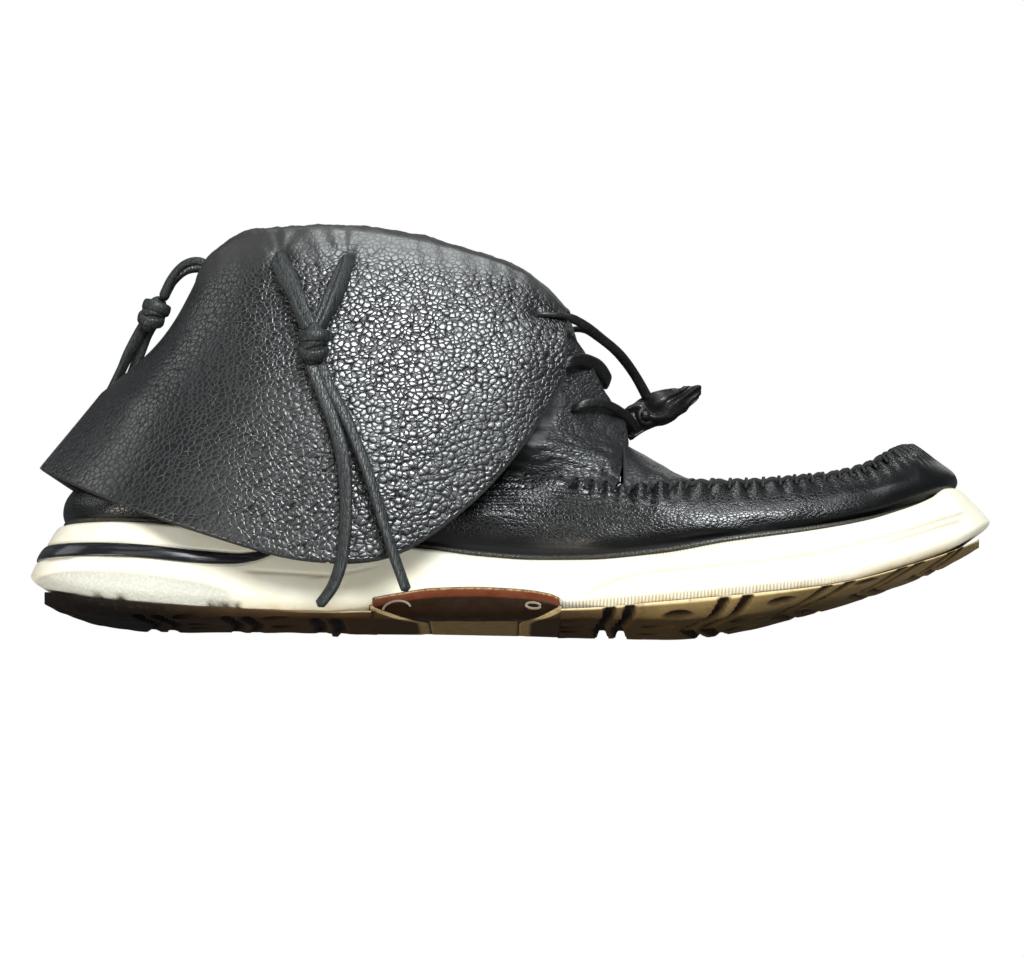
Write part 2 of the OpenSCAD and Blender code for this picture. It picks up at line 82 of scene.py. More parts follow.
RUBBER_Z = [(-150, 11), (-126, 5.6), (-98, 3.5), (-60, 2.3), (15, 3), (40, 4.8), (69, 7.6),
            (94, 10.8), (106, 13.4), (120, 17.8), (135, 23.4), (142, 27.0), (150, 31.6)]
RIM_Z = [(-150, 30), (-120, 29.5), (-90, 27.5), (-60, 25), (-30, 22.5), (-10, 19.8), (6, 18.6),
         (22, 18.4), (44, 20.1), (66, 23.9), (91, 27.7), (110, 31.7), (122, 35.6), (135, 40.8),
         (141, 44), (150, 45.4)]
SEAM_Z = [(-150, 42), (-60, 43.5), (-3, 45), (15, 43.5), (34, 41.5), (47, 42.5), (59, 43),
          (72, 43.5), (86, 45), (100, 47.2), (110, 50.6), (119, 56), (126, 59.4)]
SEAM_INSET = [(-150, 13.5), (-120, 10), (-60, 8.5), (0, 9.5), (34, 13), (60, 16), (85, 17.5),
              (110, 20), (135, 23.5), (150, 25)]
APRON_MID = [(22, 65), (30, 61.5), (36, 57.6), (41, 54.6), (46, 51.2), (51, 47.9), (56, 45.2),
             (70, 43.6), (86, 44.7), (100, 46.8), (112, 51), (122, 56.6)]
FOOT_IN, RIM_IN, CUP_IN, WALL_IN = (2.6, 3.5, 4), (4, 9.5, 8.5), (6.5, 12, 11), (6.6, 12.2, 11.2)
FOLD_ROUTE = [(16, -25, 98), (2, -31, 109.5), (-22, -36, 117), (-45, -39, 121.5),
              (-64, -38.5, 122.5), (-80, -33, 120), (-92, -20, 115), (-97, 0, 111.5)]
HEM_ROUTE = [(16, -32, 75), (4, -39, 54), (-13, -45, 34), (-36, -50, 18), (-62, -52, 16.5),
             (-92, -47, 24.5), (-124, -31, 37), (-146, 0, 49)]
QUARTER_TOP = [(15, -21.2, 93.5), (1, -27.5, 105), (-22, -32.5, 112.5), (-45, -35.2, 117),
               (-64, -34.7, 118), (-79, -29.5, 115.5), (-89.5, -18, 110.5), (-93.5, 0, 107)]
QUARTER_FOOT = [(33, -36, 42.5), (12, -36, 43.5), (-12, -34.5, 45), (-36, -33, 44.5),
                (-62, -32.5, 44), (-92, -31.5, 43.5), (-118, -22, 43), (-131, 0, 43)]
THROAT_PUSH = [(0, 0.5), (0.18, 4.5), (0.39, 6.2), (0.57, 9.4), (0.69, 8.4), (0.92, 1.8), (1, 0)]
THROAT_PINCH = [(0, 0), (0.3, 8), (0.57, 17), (0.7, 17), (0.9, 6), (1, 0)]
TONGUE_MID = [(28.5, 59.5), (22, 69), (14, 82.5), (6.5, 96), (1, 104.5)]
TONGUE_HALF_W = [(0, 17), (1, 17), (2, 18), (3, 20), (4, 17)]
KNOT_AT = (-60.2, -54.9, 81.5)
TIE_HOLES = [(-71.5, -37.5, 108.5), (-51, -38.5, 107.5)]
BACK_KNOT = (-113.4, 1, 98.6)

# Routes of the free tails from the knot down, a few millimetres from those of the CAD frame.
OUTER_FRONT_TAIL = [(-58, -54.5, 76), (-55.5, -55, 69), (-50.6, -55.8, 60), (-46.2, -56.6, 50),
                    (-42.4, -57, 40), (-38.6, -57, 28), (-34.9, -57, 17), (-31, -57, 6.5)]
OUTER_REAR_TAIL = [(-61, -54.5, 76), (-58, -55, 68), (-54.3, -55.8, 59), (-51.6, -56.6, 50),
                   (-50, -57, 40), (-49.7, -57, 30), (-50.4, -57, 18), (-53, -57, 8.5),
                   (-57.6, -57, 1.8)]
HEEL_OUTER_TAIL = [(-113.8, 1.6, 98), (-117, 3, 94), (-121, 5, 87), (-124.5, 8, 80),
                   (-129, 12, 72.5), (-135, 16, 63), (-140, 20, 54)]
HEEL_INNER_TAIL = [(-113, 3.5, 97), (-115.5, 5.5, 93), (-118.5, 8.5, 86), (-122, 12.5, 78),
                   (-126, 17, 70), (-129.5, 22, 62)]


# ---- numbers ----
def unit(v):
    """Vectors of length one along the last axis."""
    v = np.asarray(v, float)
    return v / np.maximum(np.linalg.norm(v, axis=-1, keepdims=True), 1e-9)


def lerp(a, b, t):
    return a + (b - a) * t


def fade(x, low, high):
    """0 below low, 1 above high, smooth between; low may be above high."""
    t = np.clip((np.asarray(x, float) - low) / (high - low), 0, 1)
    return t * t * (3 - 2 * t)


def hump(x, middle, width):
    """Bell of height one."""
    return np.exp(-((np.asarray(x, float) - middle) / width) ** 2)


def curve(table, x):
    """Smooth value of a table of (x, value), with no overshoot between its points."""
    xs, vs = np.array(table, float).T
    x = np.clip(x, xs[0], xs[-1])
    i = np.clip(np.searchsorted(xs, x, side="right") - 1, 0, len(xs) - 2)
    h = np.diff(xs)
    rise = np.diff(vs) / h
    a, b = rise[:-1], rise[1:]
    inner = np.where(a * b <= 0, 0, 2 * a * b / np.where(np.abs(a + b) < 1e-12, 1, a + b))
    slope = np.concatenate([rise[:1], inner, rise[-1:]])
    u = (x - xs[i]) / h[i]
    return ((2 * u**3 - 3 * u**2 + 1) * vs[i] + (u**3 - 2 * u**2 + u) * h[i] * slope[i]
            + (3 * u**2 - 2 * u**3) * vs[i + 1] + (u**3 - u**2) * h[i] * slope[i + 1])


def spline(a, b, c, d, u):
    """Smooth value at a share u of the way from b to c, between the neighbours a and d."""
    return 0.5 * (2 * b + (c - a) * u + (2 * a - 5 * b + 4 * c - d) * u**2
                  + (3 * b - a - 3 * c + d) * u**3)


def route(points, s):
    """Smooth points on a route; s counts its points from 0."""
    p = np.array(points, float)
    s = np.asarray(s, float)
    i = np.clip(np.floor(s).astype(int), 0, len(p) - 2)
    u = (s - i)[..., None]
    a, b, c = p[np.maximum(i - 1, 0)], p[i], p[i + 1]
    return spline(a, b, c, p[np.minimum(i + 2, len(p) - 1)], u)


def travelled(path):
    """Length along a path at each of its points."""
    return np.concatenate([[0], np.cumsum(np.linalg.norm(np.diff(path, axis=0), axis=1))])


def evenly(points, count):
    """The route as points spaced evenly along its length."""
    fine = route(points, np.linspace(0, len(points) - 1, 40 * len(points)))
    gone = travelled(fine)
    want = np.linspace(0, gone[-1], count)
    return np.stack([np.interp(want, gone, fine[:, k]) for k in range(3)], -1)


def ripple(points, size, seed, stretch=(1, 1, 1), waves=26):
    """Smooth random field of about unit height, with features of a size in millimetres."""
    rng = np.random.default_rng(seed)
    k = rng.normal(size=(waves, 3)) * 2.6 / size / np.array(stretch)
    phase = rng.uniform(0, 2 * math.pi, waves)
    return np.sin(np.asarray(points) @ k.T + phase).sum(-1) / math.sqrt(waves / 2)


def flipped(points):
    """Mirrored to the inner side of the shoe."""
    return np.asarray(points, float) * (1, -1, 1)


# ---- meshes ----
def grid_faces(index, closed=False):
    """Quads between neighbours of an index grid; closed joins its last row to its first."""
    rows = np.vstack([index, index[:1]]) if closed else index
    a, b, c, d = rows[:-1, :-1], rows[:-1, 1:], rows[1:, 1:], rows[1:, :-1]
    return np.stack([a, b, c, d], -1).reshape(-1, 4).tolist()


def slab(outer, inner, closed=False, bulge=0.42, flush=None):
    """Points, faces and a mask (1 on the inner face) of a sheet between two grids.

    Its edges are round, except along a flush row (0 or -1), which meets another sheet.
    """
    n, m = outer.shape[:2]
    index = np.arange(n * m).reshape(n, m)
    faces = grid_faces(index, closed)
    faces += [[i + n * m for i in f[::-1]] for f in faces]
    away = np.zeros_like(outer)
    middle = (outer + inner) / 2
    away[:, 0] += unit(middle[:, 0] - middle[:, 1])
    away[:, -1] += unit(middle[:, -1] - middle[:, -2])
    loops = [index[:, 0], index[::-1, -1]]
    if not closed:
        away[0] += unit(middle[0] - middle[1])
        away[-1] += unit(middle[-1] - middle[-2])
        loops = [np.concatenate([index[:-1, 0], index[-1, :-1], index[:0:-1, -1],
                                 index[0, :0:-1]])]
    flat_out, flat_in = outer.reshape(-1, 3), inner.reshape(-1, 3)
    away = unit(away).reshape(-1, 3)
    points, masks = [flat_out, flat_in], [np.zeros(n * m), np.ones(n * m)]
    base = 2 * n * m
    for loop in loops:
        thick = np.linalg.norm(flat_out[loop] - flat_in[loop], axis=1, keepdims=True)
        if flush is not None:
            thick[np.isin(loop, index[flush])] = 0
        rings = [loop]
        for t in (0.15, 0.5, 0.85):
            push = away[loop] * thick * bulge * math.sin(math.pi * t) ** 0.7
            points.append(lerp(flat_out[loop], flat_in[loop], t) + push)
            masks.append(np.full(len(loop), t))
            rings.append(base + np.arange(len(loop)))
            base += len(loop)
        rings.append(loop + n * m)
        for a, b in zip(rings[:-1], rings[1:]):
            strip = np.stack([a, np.roll(a, -1), np.roll(b, -1), b], -1)
            faces += strip.tolist()
    return np.concatenate(points), faces, np.concatenate(masks)


def stack(rings):
    """Points and faces of a solid between stacked rings, closed by strips across both ends."""
    m, n = rings.shape[:2]
    index = np.arange(m * n).reshape(m, n)
    faces = grid_faces(index.T, closed=True)
    for ring in (index[0], index[-1]):
        half = n // 2
        faces += [[ring[0], ring[1], ring[n - 1]], [ring[half], ring[half - 1], ring[half + 1]]]
        faces += [[ring[k], ring[k + 1], ring[n - k - 1], ring[n - k]] for k in range(1, half - 1)]
    return rings.reshape(-1, 3), [[int(i) for i in f] for f in faces]


def sweep(path, width, thick, flat, sides=14, closed=False, square=0.7):
    """Points and faces of a thong along a path; flat points along its width."""
    path = np.asarray(path, float)
    n = len(path)
    ahead = np.roll(path, -1, 0) - np.roll(path, 1, 0) if closed else np.gradient(path, axis=0)
    along = unit(ahead)
    flat = np.broadcast_to(np.asarray(flat, float), path.shape)
    side = unit(flat - (flat * along).sum(-1, keepdims=True) * along)
    rise = np.cross(along, side)
    gone = travelled(path)
    size = np.ones(n)
    if not closed:
        left = np.minimum(gone, gone[-1] - gone) / (np.mean(thick) / 2)
        size = np.sqrt(np.clip(1 - (1 - np.clip(left, 0, 1)) ** 2, 0.02, 1))
    turn = np.arange(sides) * 2 * math.pi / sides
    c, s = np.cos(turn), np.sin(turn)
    u = np.sign(c) * np.abs(c) ** square / 2
    v = np.sign(s) * np.abs(s) ** square / 2
    width = np.broadcast_to(width, n) * size
    thick = np.broadcast_to(thick, n) * size
    points = (path[:, None] + side[:, None] * (width[:, None] * u)[..., None]
              + rise[:, None] * (thick[:, None] * v)[..., None]).reshape(-1, 3)
    index = np.arange(n * sides).reshape(n, sides)
    ring = np.hstack([index, index[:, :1]])
    faces = grid_faces(ring, closed)
    if not closed:
        faces += [index[0][::-1].tolist(), index[-1].tolist()]
    return points, faces


def joined(*parts):
    """One set of points and faces from several."""
    points, faces, base = [], [], 0
    for p, f in parts:
        points.append(p)
        faces += [[i + base for i in face] for face in f]
        base += len(p)
    return np.concatenate(points), faces


def placed(name, data):
    """A new object in the scene."""
    obj = bpy.data.objects.new(name, data)
    bpy.context.scene.collection.objects.link(obj)
    return obj


def piece(name, points, faces, finish, body, nodes=(), slot=None, **masks):
    points = np.asarray(points, float)
    mesh = bpy.data.meshes.new(name)
    mesh.from_pydata((points * MM).tolist(), [], faces)
    at_rest = mesh.attributes.new("rest", "FLOAT_VECTOR", "POINT")
    at_rest.data.foreach_set("vector", points.ravel())
    for key, values in masks.items():
        layer = mesh.attributes.new(key, "FLOAT", "POINT")
        layer.data.foreach_set("value", np.asarray(values, float))
    work = bmesh.new()
    work.from_mesh(mesh)
    bmesh.ops.recalc_face_normals(work, faces=work.faces)
    for edge in work.edges:
        edge.smooth = edge.calc_face_angle(0.0) < SHARP
    work.to_mesh(mesh)
    work.free()
    mesh.polygons.foreach_set("use_smooth", [True] * len(mesh.polygons))
    mesh.materials.append(finish)
    obj = placed(name, mesh)
    if body:
        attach(obj, body)
    if nodes:
        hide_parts(*nodes)
    return obj


def on_points(points, mask):
    """A mask of a slab's outer grid as one value for each of its points, 0 on the rest."""
    return np.concatenate([mask.ravel(), np.zeros(len(points) - mask.size)])


def raised(flat, z):
    """Places in plan, brought to a height."""
    return np.stack([flat[..., 0], flat[..., 1], z], -1)


# ---- shapes shared with the CAD frame ----
def plan(a):
    """Outline of the sole at an angle in degrees from the toe, towards the inner side."""
    a = np.radians(a)
    x, s = HALF * np.cos(a), np.sin(a)
    w = np.where(s > 0, curve(INNER_W, x), curve(OUTER_W, x))
    return np.stack([x, curve(TOE_SWING, x) + w * s], -1)


def plan_in(a, d):
    t = plan(a + 1.5) - plan(a - 1.5)
    n = unit(np.stack([-t[..., 1], t[..., 0]], -1))
    return plan(a) + n * np.asarray(d, float)[..., None]


def ends(v, a):
    """A value given for the sides, the toe and the heel, at an angle round the sole."""
    c = np.cos(np.radians(a))
    return v[0] + (v[1] - v[0]) * np.maximum(c, 0) ** 8 + (v[2] - v[0]) * np.maximum(-c, 0) ** 8


def outline_y(x, side):
    s = np.sqrt(np.maximum(1 - (x / HALF) ** 2, 0.0004))
    w = curve(INNER_W if side > 0 else OUTER_W, x)
    return curve(TOE_SWING, x) + side * w * s


def wall(a, v, d):
    """Outer face of the wall: angle a, share v of its height, depth d into the shoe."""
    seam_in = curve(SEAM_INSET, plan(a)[..., 0])
    c = np.maximum(np.cos(np.radians(a)), 0)
    swell = (2.8 + 2.5 * c**4) * np.sin(math.pi * np.maximum(v - 0.32, 0) / 0.68)
    p = plan_in(a, lerp(ends(WALL_IN, a), seam_in, v**1.7) - swell + d)
    x = p[..., 0]
    z = lerp(curve(RIM_Z, x) - CUP_D + BOARD_T, curve(SEAM_Z, x), v)
    return raised(p, z)


def quarter(s, v, d):
    """Ankle leather: s from the throat to the heel, v from the collar down, d into the shoe."""
    near = np.maximum(1 - s / 2.2, 0) ** 1.5
    p = lerp(route(QUARTER_TOP, s), route(QUARTER_FOOT, s), v[..., None])
    heel = np.minimum(s / HEEL_S, 1)
    zero = np.zeros_like(s)
    n = unit(np.stack([0.1 + heel**4 * 1.6, 1.0001 - heel**6, zero], -1))
    shift = np.stack([curve(THROAT_PUSH, v) * near, curve(THROAT_PINCH, v) * near,
                      -d * 0.6 * near * np.sin(math.pi * v)], -1)
    return p + shift + n * np.asarray(d, float)[..., None]


def heel_share(s):
    """0 along the side of the cape, and up to 1 at its heel."""
    return np.maximum(s - HEEL_FROM_S, 0) / (HEEL_S - HEEL_FROM_S)


def cape_normal(s):
    heel = heel_share(s)
    return unit(np.stack([-1.2 * heel**1.5 - 0.05, heel**2 - 1.0001, np.full_like(s, 0.25)], -1))


def cape(s, v, d):
    """Cape outside the collar: s along the half, v from fold to hem, d outwards."""
    heel = heel_share(s)
    dip = HEEL_DIP * heel**2 * np.sin(math.pi * np.minimum(v / 0.62, 1))
    out = CAPE_SWELL * (1 - heel) * np.sin(math.pi * np.clip(v, 0, 1)) - dip + d
    return (lerp(route(FOLD_ROUTE, s), route(HEM_ROUTE, s), v[..., None])
            + cape_normal(s) * out[..., None])


def mesh_of(rows, columns):
    """Two parameters as a grid."""
    return np.meshgrid(rows, columns, indexing="ij")


# ---- camera, lights and floor ----
VIEW_DISTANCE = 1.4      # metres from the lens to the shoe
VIEW_ELEVATION = -7.0    # degrees; the photo looks up a little from below the sole
VIEW_ROLL = 0.6          # degrees, toe down
VIEW_LENS = 156.8        # on a 36 mm sensor
VIEW_SHIFT = -0.0386     # the shoe stands above the middle of the frame
TARGET = Vector((0, 0, 0.06))
ROOM_LIGHT = 0.10        # strength of the white surroundings, apart from what the camera sees
FLOOR_HALF = 2.4         # metres
FLOOR_FADE = 0.45, 1.6   # the floor starts to fade and is gone, in metres from the shoe


def make_camera():
    e = math.radians(VIEW_ELEVATION)
    back = Vector((0, -math.cos(e), math.sin(e)))
    data = bpy.data.cameras.new("camera")
    data.lens, data.sensor_width, data.shift_y = VIEW_LENS, 36, VIEW_SHIFT
    data.clip_start, data.clip_end = 0.05, 30
    cam = placed("camera", data)
    cam.location = TARGET + back * VIEW_DISTANCE
    cam.rotation_mode = "QUATERNION"
    roll = Quaternion((0, 0, 1), math.radians(VIEW_ROLL))
    cam.rotation_quaternion = (-back).to_track_quat("-Z", "Y") @ roll
    bpy.context.scene.camera = cam


def softbox(name, at, size, watts, colour=(1, 1, 1), aim=TARGET):
    data = bpy.data.lights.new(name, "AREA")
    data.shape, data.size, data.size_y = "RECTANGLE", size[0], size[1]
    data.energy, data.color = watts, colour
    lamp = placed(name, data)
    lamp.location = at
    lamp.rotation_mode = "QUATERNION"
    lamp.rotation_quaternion = (aim - Vector(at)).to_track_quat("-Z", "Y")
    lamp.visible_camera = False


def make_lights():
    softbox("key_light", (0.36, -1.5, 0.84), (0.7, 0.62), 36, (0.93, 0.98, 1))
    softbox("front_fill", (-0.8, -1.5, 0.2), (1.0, 0.8), 2.2, (1, 0.99, 0.97))
    softbox("roll_light", (0.3, -0.75, 1.3), (1.0, 0.35), 5, (0.97, 0.99, 1))
    softbox("top_light", (-0.25, 0.1, 1.4), (0.7, 0.6), 4)
    softbox("back_light", (0.4, 1.3, 0.8), (1.0, 0.8), 2)
    softbox("heel_light", (-1.5, 0.1, 0.7), (0.8, 0.8), 2.5)
    softbox("low_light", (-1.2, -0.9, -0.7), (0.8, 0.5), 9, (1, 0.96, 0.88))


def make_world():
    world = bpy.data.worlds.new("studio")
    bpy.context.scene.world = world
    world.use_nodes = True
    nodes, links = world.node_tree.nodes, world.node_tree.links
    nodes.clear()
    out = nodes.new("ShaderNodeOutputWorld")
    seen, lit, mix = (nodes.new("ShaderNodeBackground"), nodes.new("ShaderNodeBackground"),
                      nodes.new("ShaderNodeMixShader"))
    seen.inputs["Color"].default_value = (1, 1, 1, 1)
    lit.inputs["Color"].default_value = (0.9, 0.95, 1, 1)
    lit.inputs["Strength"].default_value = ROOM_LIGHT
    path = nodes.new("ShaderNodeLightPath")
    links.new(path.outputs["Is Camera Ray"], mix.inputs[0])
    links.new(lit.outputs[0], mix.inputs[1])
    links.new(seen.outputs[0], mix.inputs[2])
    links.new(mix.outputs[0], out.inputs["Surface"])


def make_floor():
    """Pale floor seen only from above, that fades into the white backdrop away from the shoe."""
    finish = bpy.data.materials.new("floor")
    finish.use_nodes = True
    nodes, links = finish.node_tree.nodes, finish.node_tree.links
    plain = nodes["Principled BSDF"]
    plain.inputs["Base Color"].default_value = (0.86, 0.86, 0.85, 1)
    plain.inputs["Roughness"].default_value = 0.8
    path, side = nodes.new("ShaderNodeLightPath"), nodes.new("ShaderNodeNewGeometry")
    far, reach = nodes.new("ShaderNodeVectorMath"), nodes.new("ShaderNodeMapRange")
    far.operation = "LENGTH"
    links.new(nodes.new("ShaderNodeTexCoord").outputs["Object"], far.inputs[0])
    links.new(far.outputs["Value"], reach.inputs["Value"])
    reach.interpolation_type = "SMOOTHSTEP"
    for name, metres_off in zip(("From Min", "From Max"), FLOOR_FADE):
        reach.inputs[name].default_value = metres_off
    clear = reach.outputs["Result"]
    for hides in (path.outputs["Is Shadow Ray"], path.outputs["Is Glossy Ray"],
                  side.outputs["Backfacing"]):
        either = nodes.new("ShaderNodeMath")
        either.operation = "MAXIMUM"
        links.new(clear, either.inputs[0])
        links.new(hides, either.inputs[1])
        clear = either.outputs[0]
    mix = nodes.new("ShaderNodeMixShader")
    links.new(clear, mix.inputs[0])
    links.new(plain.outputs[0], mix.inputs[1])
    links.new(nodes.new("ShaderNodeBsdfTransparent").outputs[0], mix.inputs[2])
    links.new(mix.outputs[0], nodes["Material Output"].inputs["Surface"])
    mesh = bpy.data.meshes.new("floor")
    r = FLOOR_HALF
    mesh.from_pydata([(-r, -r, 0), (r, -r, 0), (r, r, 0), (-r, r, 0)], [], [(0, 1, 2, 3)])
    mesh.materials.append(finish)
    placed("floor", mesh)


bpy.context.scene.view_settings.view_transform = "Standard"
make_camera()
make_world()
make_lights()
make_floor()


# ---- material nodes ----
class Finish:
    """A material under construction: short calls that add and join its nodes."""

    def __init__(self, name):
        self.made = bpy.data.materials.new(name)
        self.made.use_nodes = True
        self.tree = self.made.node_tree
        self.bsdf = self.tree.nodes["Principled BSDF"]

    def put(self, socket, value):
        if isinstance(value, bpy.types.NodeSocket):
            self.tree.links.new(value, socket)
        elif isinstance(value, tuple) and socket.type == "RGBA":
            socket.default_value = (*value, 1)
        else:
            socket.default_value = value

    def add(self, kind, settings=None, out=0, **inputs):
        node = self.tree.nodes.new("ShaderNode" + kind)
        for key, value in (settings or {}).items():
            setattr(node, key, value)
        for key, value in inputs.items():
            name = int(key[1:]) if key[1:].isdigit() else key.replace("_", " ")
            self.put(node.inputs[name], value)
        return node.outputs[out]

    def math(self, operation, a, b):
        return self.add("Math", {"operation": operation}, i0=a, i1=b)

    def times(self, a, b):
        return self.math("MULTIPLY", a, b)

    def mask(self, name):
        return self.add("Attribute", {"attribute_name": name}, out=2)

    def place(self, cad=False):
        """Place on the surface in millimetres: at rest, or the object's own on a CAD node."""
        if not cad:
            return self.add("Attribute", {"attribute_name": "rest"}, out=1)
        own = self.add("TexCoord", out=3)
        return self.add("VectorMath", {"operation": "SCALE"}, Vector=own, Scale=1000.0)

    def stretch(self, place, by):
        return self.add("VectorMath", {"operation": "MULTIPLY"}, i0=place, i1=by)

    def warp(self, place, size, amount):
        """The place pushed about by noise, so that a pattern loses its regularity."""
        cloud = self.add("TexNoise", out=1, Vector=place, Scale=1 / size, Detail=2.0)
        centred = self.add("VectorMath", {"operation": "SUBTRACT"}, i0=cloud, i1=(0.5, 0.5, 0.5))
        push = self.add("VectorMath", {"operation": "SCALE"}, Vector=centred, Scale=amount)
        return self.add("VectorMath", {"operation": "ADD"}, i0=place, i1=push)

    def noise(self, place, size, detail=3.0, rough=0.55):
        return self.add("TexNoise", Vector=place, Scale=1 / size, Detail=detail, Roughness=rough)

    def cells(self, place, size, feature="F1", spread=1.0):
        return self.add("TexVoronoi", {"feature": feature}, Vector=place, Scale=1 / size,
                        Randomness=spread)

    def span(self, value, low, high, to_low=0.0, to_high=1.0, kind="SMOOTHSTEP"):
        return self.add("MapRange", {"interpolation_type": kind}, i0=value, i1=low, i2=high,
                        i3=to_low, i4=to_high)

    def mix(self, share, a, b):
        """Colour a where share is 0, and b where it is 1."""
        node = self.tree.nodes.new("ShaderNodeMix")
        node.data_type = "RGBA"
        self.put(node.inputs[0], share)
        self.put(node.inputs[6], a)
        self.put(node.inputs[7], b)
        return node.outputs[2]

    def blend(self, share, a, b):
        """Number a where share is 0, and b where it is 1."""
        node = self.tree.nodes.new("ShaderNodeMix")
        self.put(node.inputs[0], share)
        self.put(node.inputs[2], a)
        self.put(node.inputs[3], b)
        return node.outputs[0]

    def axis(self, place, which):
        return self.add("SeparateXYZ", out="XYZ".index(which), Vector=place)

    def bump(self, height, depth, under=None):
        """Bump of a depth in millimetres, on top of another one."""
        extra = {"Normal": under} if under is not None else {}
        return self.add("Bump", Height=height, Distance=depth * MM, Strength=1.0, **extra)

    def done(self, colour, rough, normal=None, **fixed):
        self.put(self.bsdf.inputs["Base Color"], colour)
        self.put(self.bsdf.inputs["Roughness"], rough)
        if normal is not None:
            self.put(self.bsdf.inputs["Normal"], normal)
        for key, value in fixed.items():
            self.put(self.bsdf.inputs[key.replace("_", " ")], value)
        return self.made


def leather(name, cell, depth, dark, light, gloss, stretch=(1, 1, 1), smooth=None, flesh=False,
            vein=0.5, worn=0.0, shine=1.6, rear_calm=0.0, grow=0.0, shaded=False,
            shade_rough=0.32):
    """Full-grain leather: glossy round pebbles between dull creases, over a finer grain."""
    f = Finish(name)
    place = f.place()
    long = f.stretch(place, tuple(1 / s for s in stretch))
    if grow:
        swell = f.span(f.axis(place, "Z"), 20.0, 125.0, 1.0, grow, "LINEAR")
        long = f.add("VectorMath", {"operation": "SCALE"}, Vector=long, Scale=swell)
    bent = f.warp(f.warp(long, cell * 3.0, cell * 1.5), cell * 0.7, cell * 0.3)
    pebble = f.span(f.cells(bent, cell, "DISTANCE_TO_EDGE"), 0.0, 0.16)
    reach = f.cells(bent, cell)
    dome = f.math("SUBTRACT", 1.0, f.times(f.math("POWER", reach, 2.6), 2.0))
    grain = f.noise(long, cell * 0.14, 3.0)
    height = f.math("ADD", f.times(dome, 0.64), f.times(pebble, 0.28))
    height = f.math("ADD", height, f.times(grain, 0.08))
    slow = f.noise(place, 24.0, 3.0)
    calm = f.span(slow, 0.34, 0.60, 0.75, 1.0)
    if rear_calm:
        calm = f.times(calm, f.span(f.axis(place, "X"), -115.0, -45.0, rear_calm, 1.0))
    wrinkle = f.noise(f.stretch(place, (0.5, 0.5, 0.14)), 2.2, 4.0, 0.6)
    fold_depth = depth * vein
    # Pebble tops lighter and creases darker: partly polish on the tops, partly painted highlight on
    # them and painted shade in the creases.
    polish_and_painted_light = f.span(height, 0.2, 0.9)
    colour = f.mix(polish_and_painted_light, dark, light)
    rough = f.math("ADD", f.span(pebble, 0.0, 0.9, gloss + 0.25, gloss),
                   f.span(slow, 0.3, 0.7, 0.05, -0.04))
    if smooth:
        even = f.mask(smooth)
        calm = f.times(calm, f.span(even, 0.0, 1.0, 1.0, 0.12))
        olive = f.mix(wrinkle, (0.005, 0.0053, 0.0043), (0.021, 0.022, 0.0185))
        colour = f.mix(even, colour, olive)
        rough = f.blend(even, rough, gloss + 0.30)
        wrinkle = f.times(wrinkle, f.span(even, 0.0, 1.0, 0.3, 1.6))
    # Painted shade: where the shade mask is set, the colour goes near black and the leather turns
    # smooth and calm.
    if shaded:
        under = f.mask("shade")
        lit = f.math("SUBTRACT", 1.0, under)
        calm, wrinkle = f.times(calm, lit), f.times(wrinkle, lit)
        colour = f.mix(under, colour, (0.0008, 0.0008, 0.0008))
        rough = f.blend(under, rough, shade_rough)
    relief = f.times(f.math("SUBTRACT", height, 0.5), calm)
    normal = f.bump(relief, depth, f.bump(wrinkle, fold_depth))
    if worn:
        scuff = f.span(f.noise(place, 5.0, 6.0, 0.7), 0.56, 0.74, 0.0, worn)
        colour = f.mix(scuff, colour, tuple(c * 5 for c in light))
    if flesh:
        suede = f.mask("inner")
        nap = f.noise(place, 0.7, 5.0, 0.75)
        raw = f.mix(nap, (0.004, 0.0035, 0.003), (0.017, 0.015, 0.013))
        colour = f.mix(f.span(suede, 0.0, 0.3), colour, raw)
        rough = f.blend(f.span(suede, 0.0, 0.12), rough, 0.95)
    return f.done(colour, rough, normal, IOR=shine)


def foam():
    """Cream sole foam with moulded lines, fine ribs, a scuffed heel and grime near the ground."""
    f = Finish("cream_foam")
    place = f.place()
    cloud = f.noise(place, 16.0, 4.0, 0.6)
    fine = f.noise(place, 0.5, 3.0, 0.6)
    colour = f.mix(f.span(cloud, 0.35, 0.7), (0.80, 0.745, 0.58), (0.86, 0.82, 0.69))
    low = f.mask("low")
    stain = f.span(f.noise(place, 5.0, 5.0, 0.65), 0.4, 0.75)
    colour = f.mix(f.times(low, f.span(stain, 0, 1, 0.25, 0.95)), colour,
                   (0.72, 0.56, 0.33))
    patch = f.mask("patch")
    stipple = f.span(f.noise(place, 0.9, 4.0, 0.7), 0.35, 0.65)
    grey = f.mix(stipple, (0.56, 0.54, 0.46), (0.66, 0.64, 0.55))
    colour = f.mix(patch, colour, grey)
    colour = f.mix(f.times(f.mask("line"), 0.6), colour, (0.42, 0.36, 0.24))
    ribs = f.add("TexWave", {"wave_type": "BANDS", "bands_direction": "X"}, out=1,
                 Vector=place, Scale=0.30, Distortion=0.3)
    rib = f.times(f.span(ribs, 0.0, 0.45, 1.0, 0.0), f.mask("ribs"))
    colour = f.mix(f.times(rib, 0.5), colour, (0.45, 0.38, 0.24))
    grime = f.times(f.mask("grime"), f.span(f.noise(place, 1.6, 5.0, 0.7), 0.3, 0.6))
    colour = f.mix(grime, colour, (0.10, 0.06, 0.03))
    rough = f.blend(patch, 0.5, 0.72)
    normal = f.bump(fine, 0.05)
    normal = f.bump(f.times(rib, -1.0), 0.25, normal)
    normal = f.bump(f.times(stipple, patch), 0.12, normal)
    return f.done(colour, rough, normal, IOR=1.45)


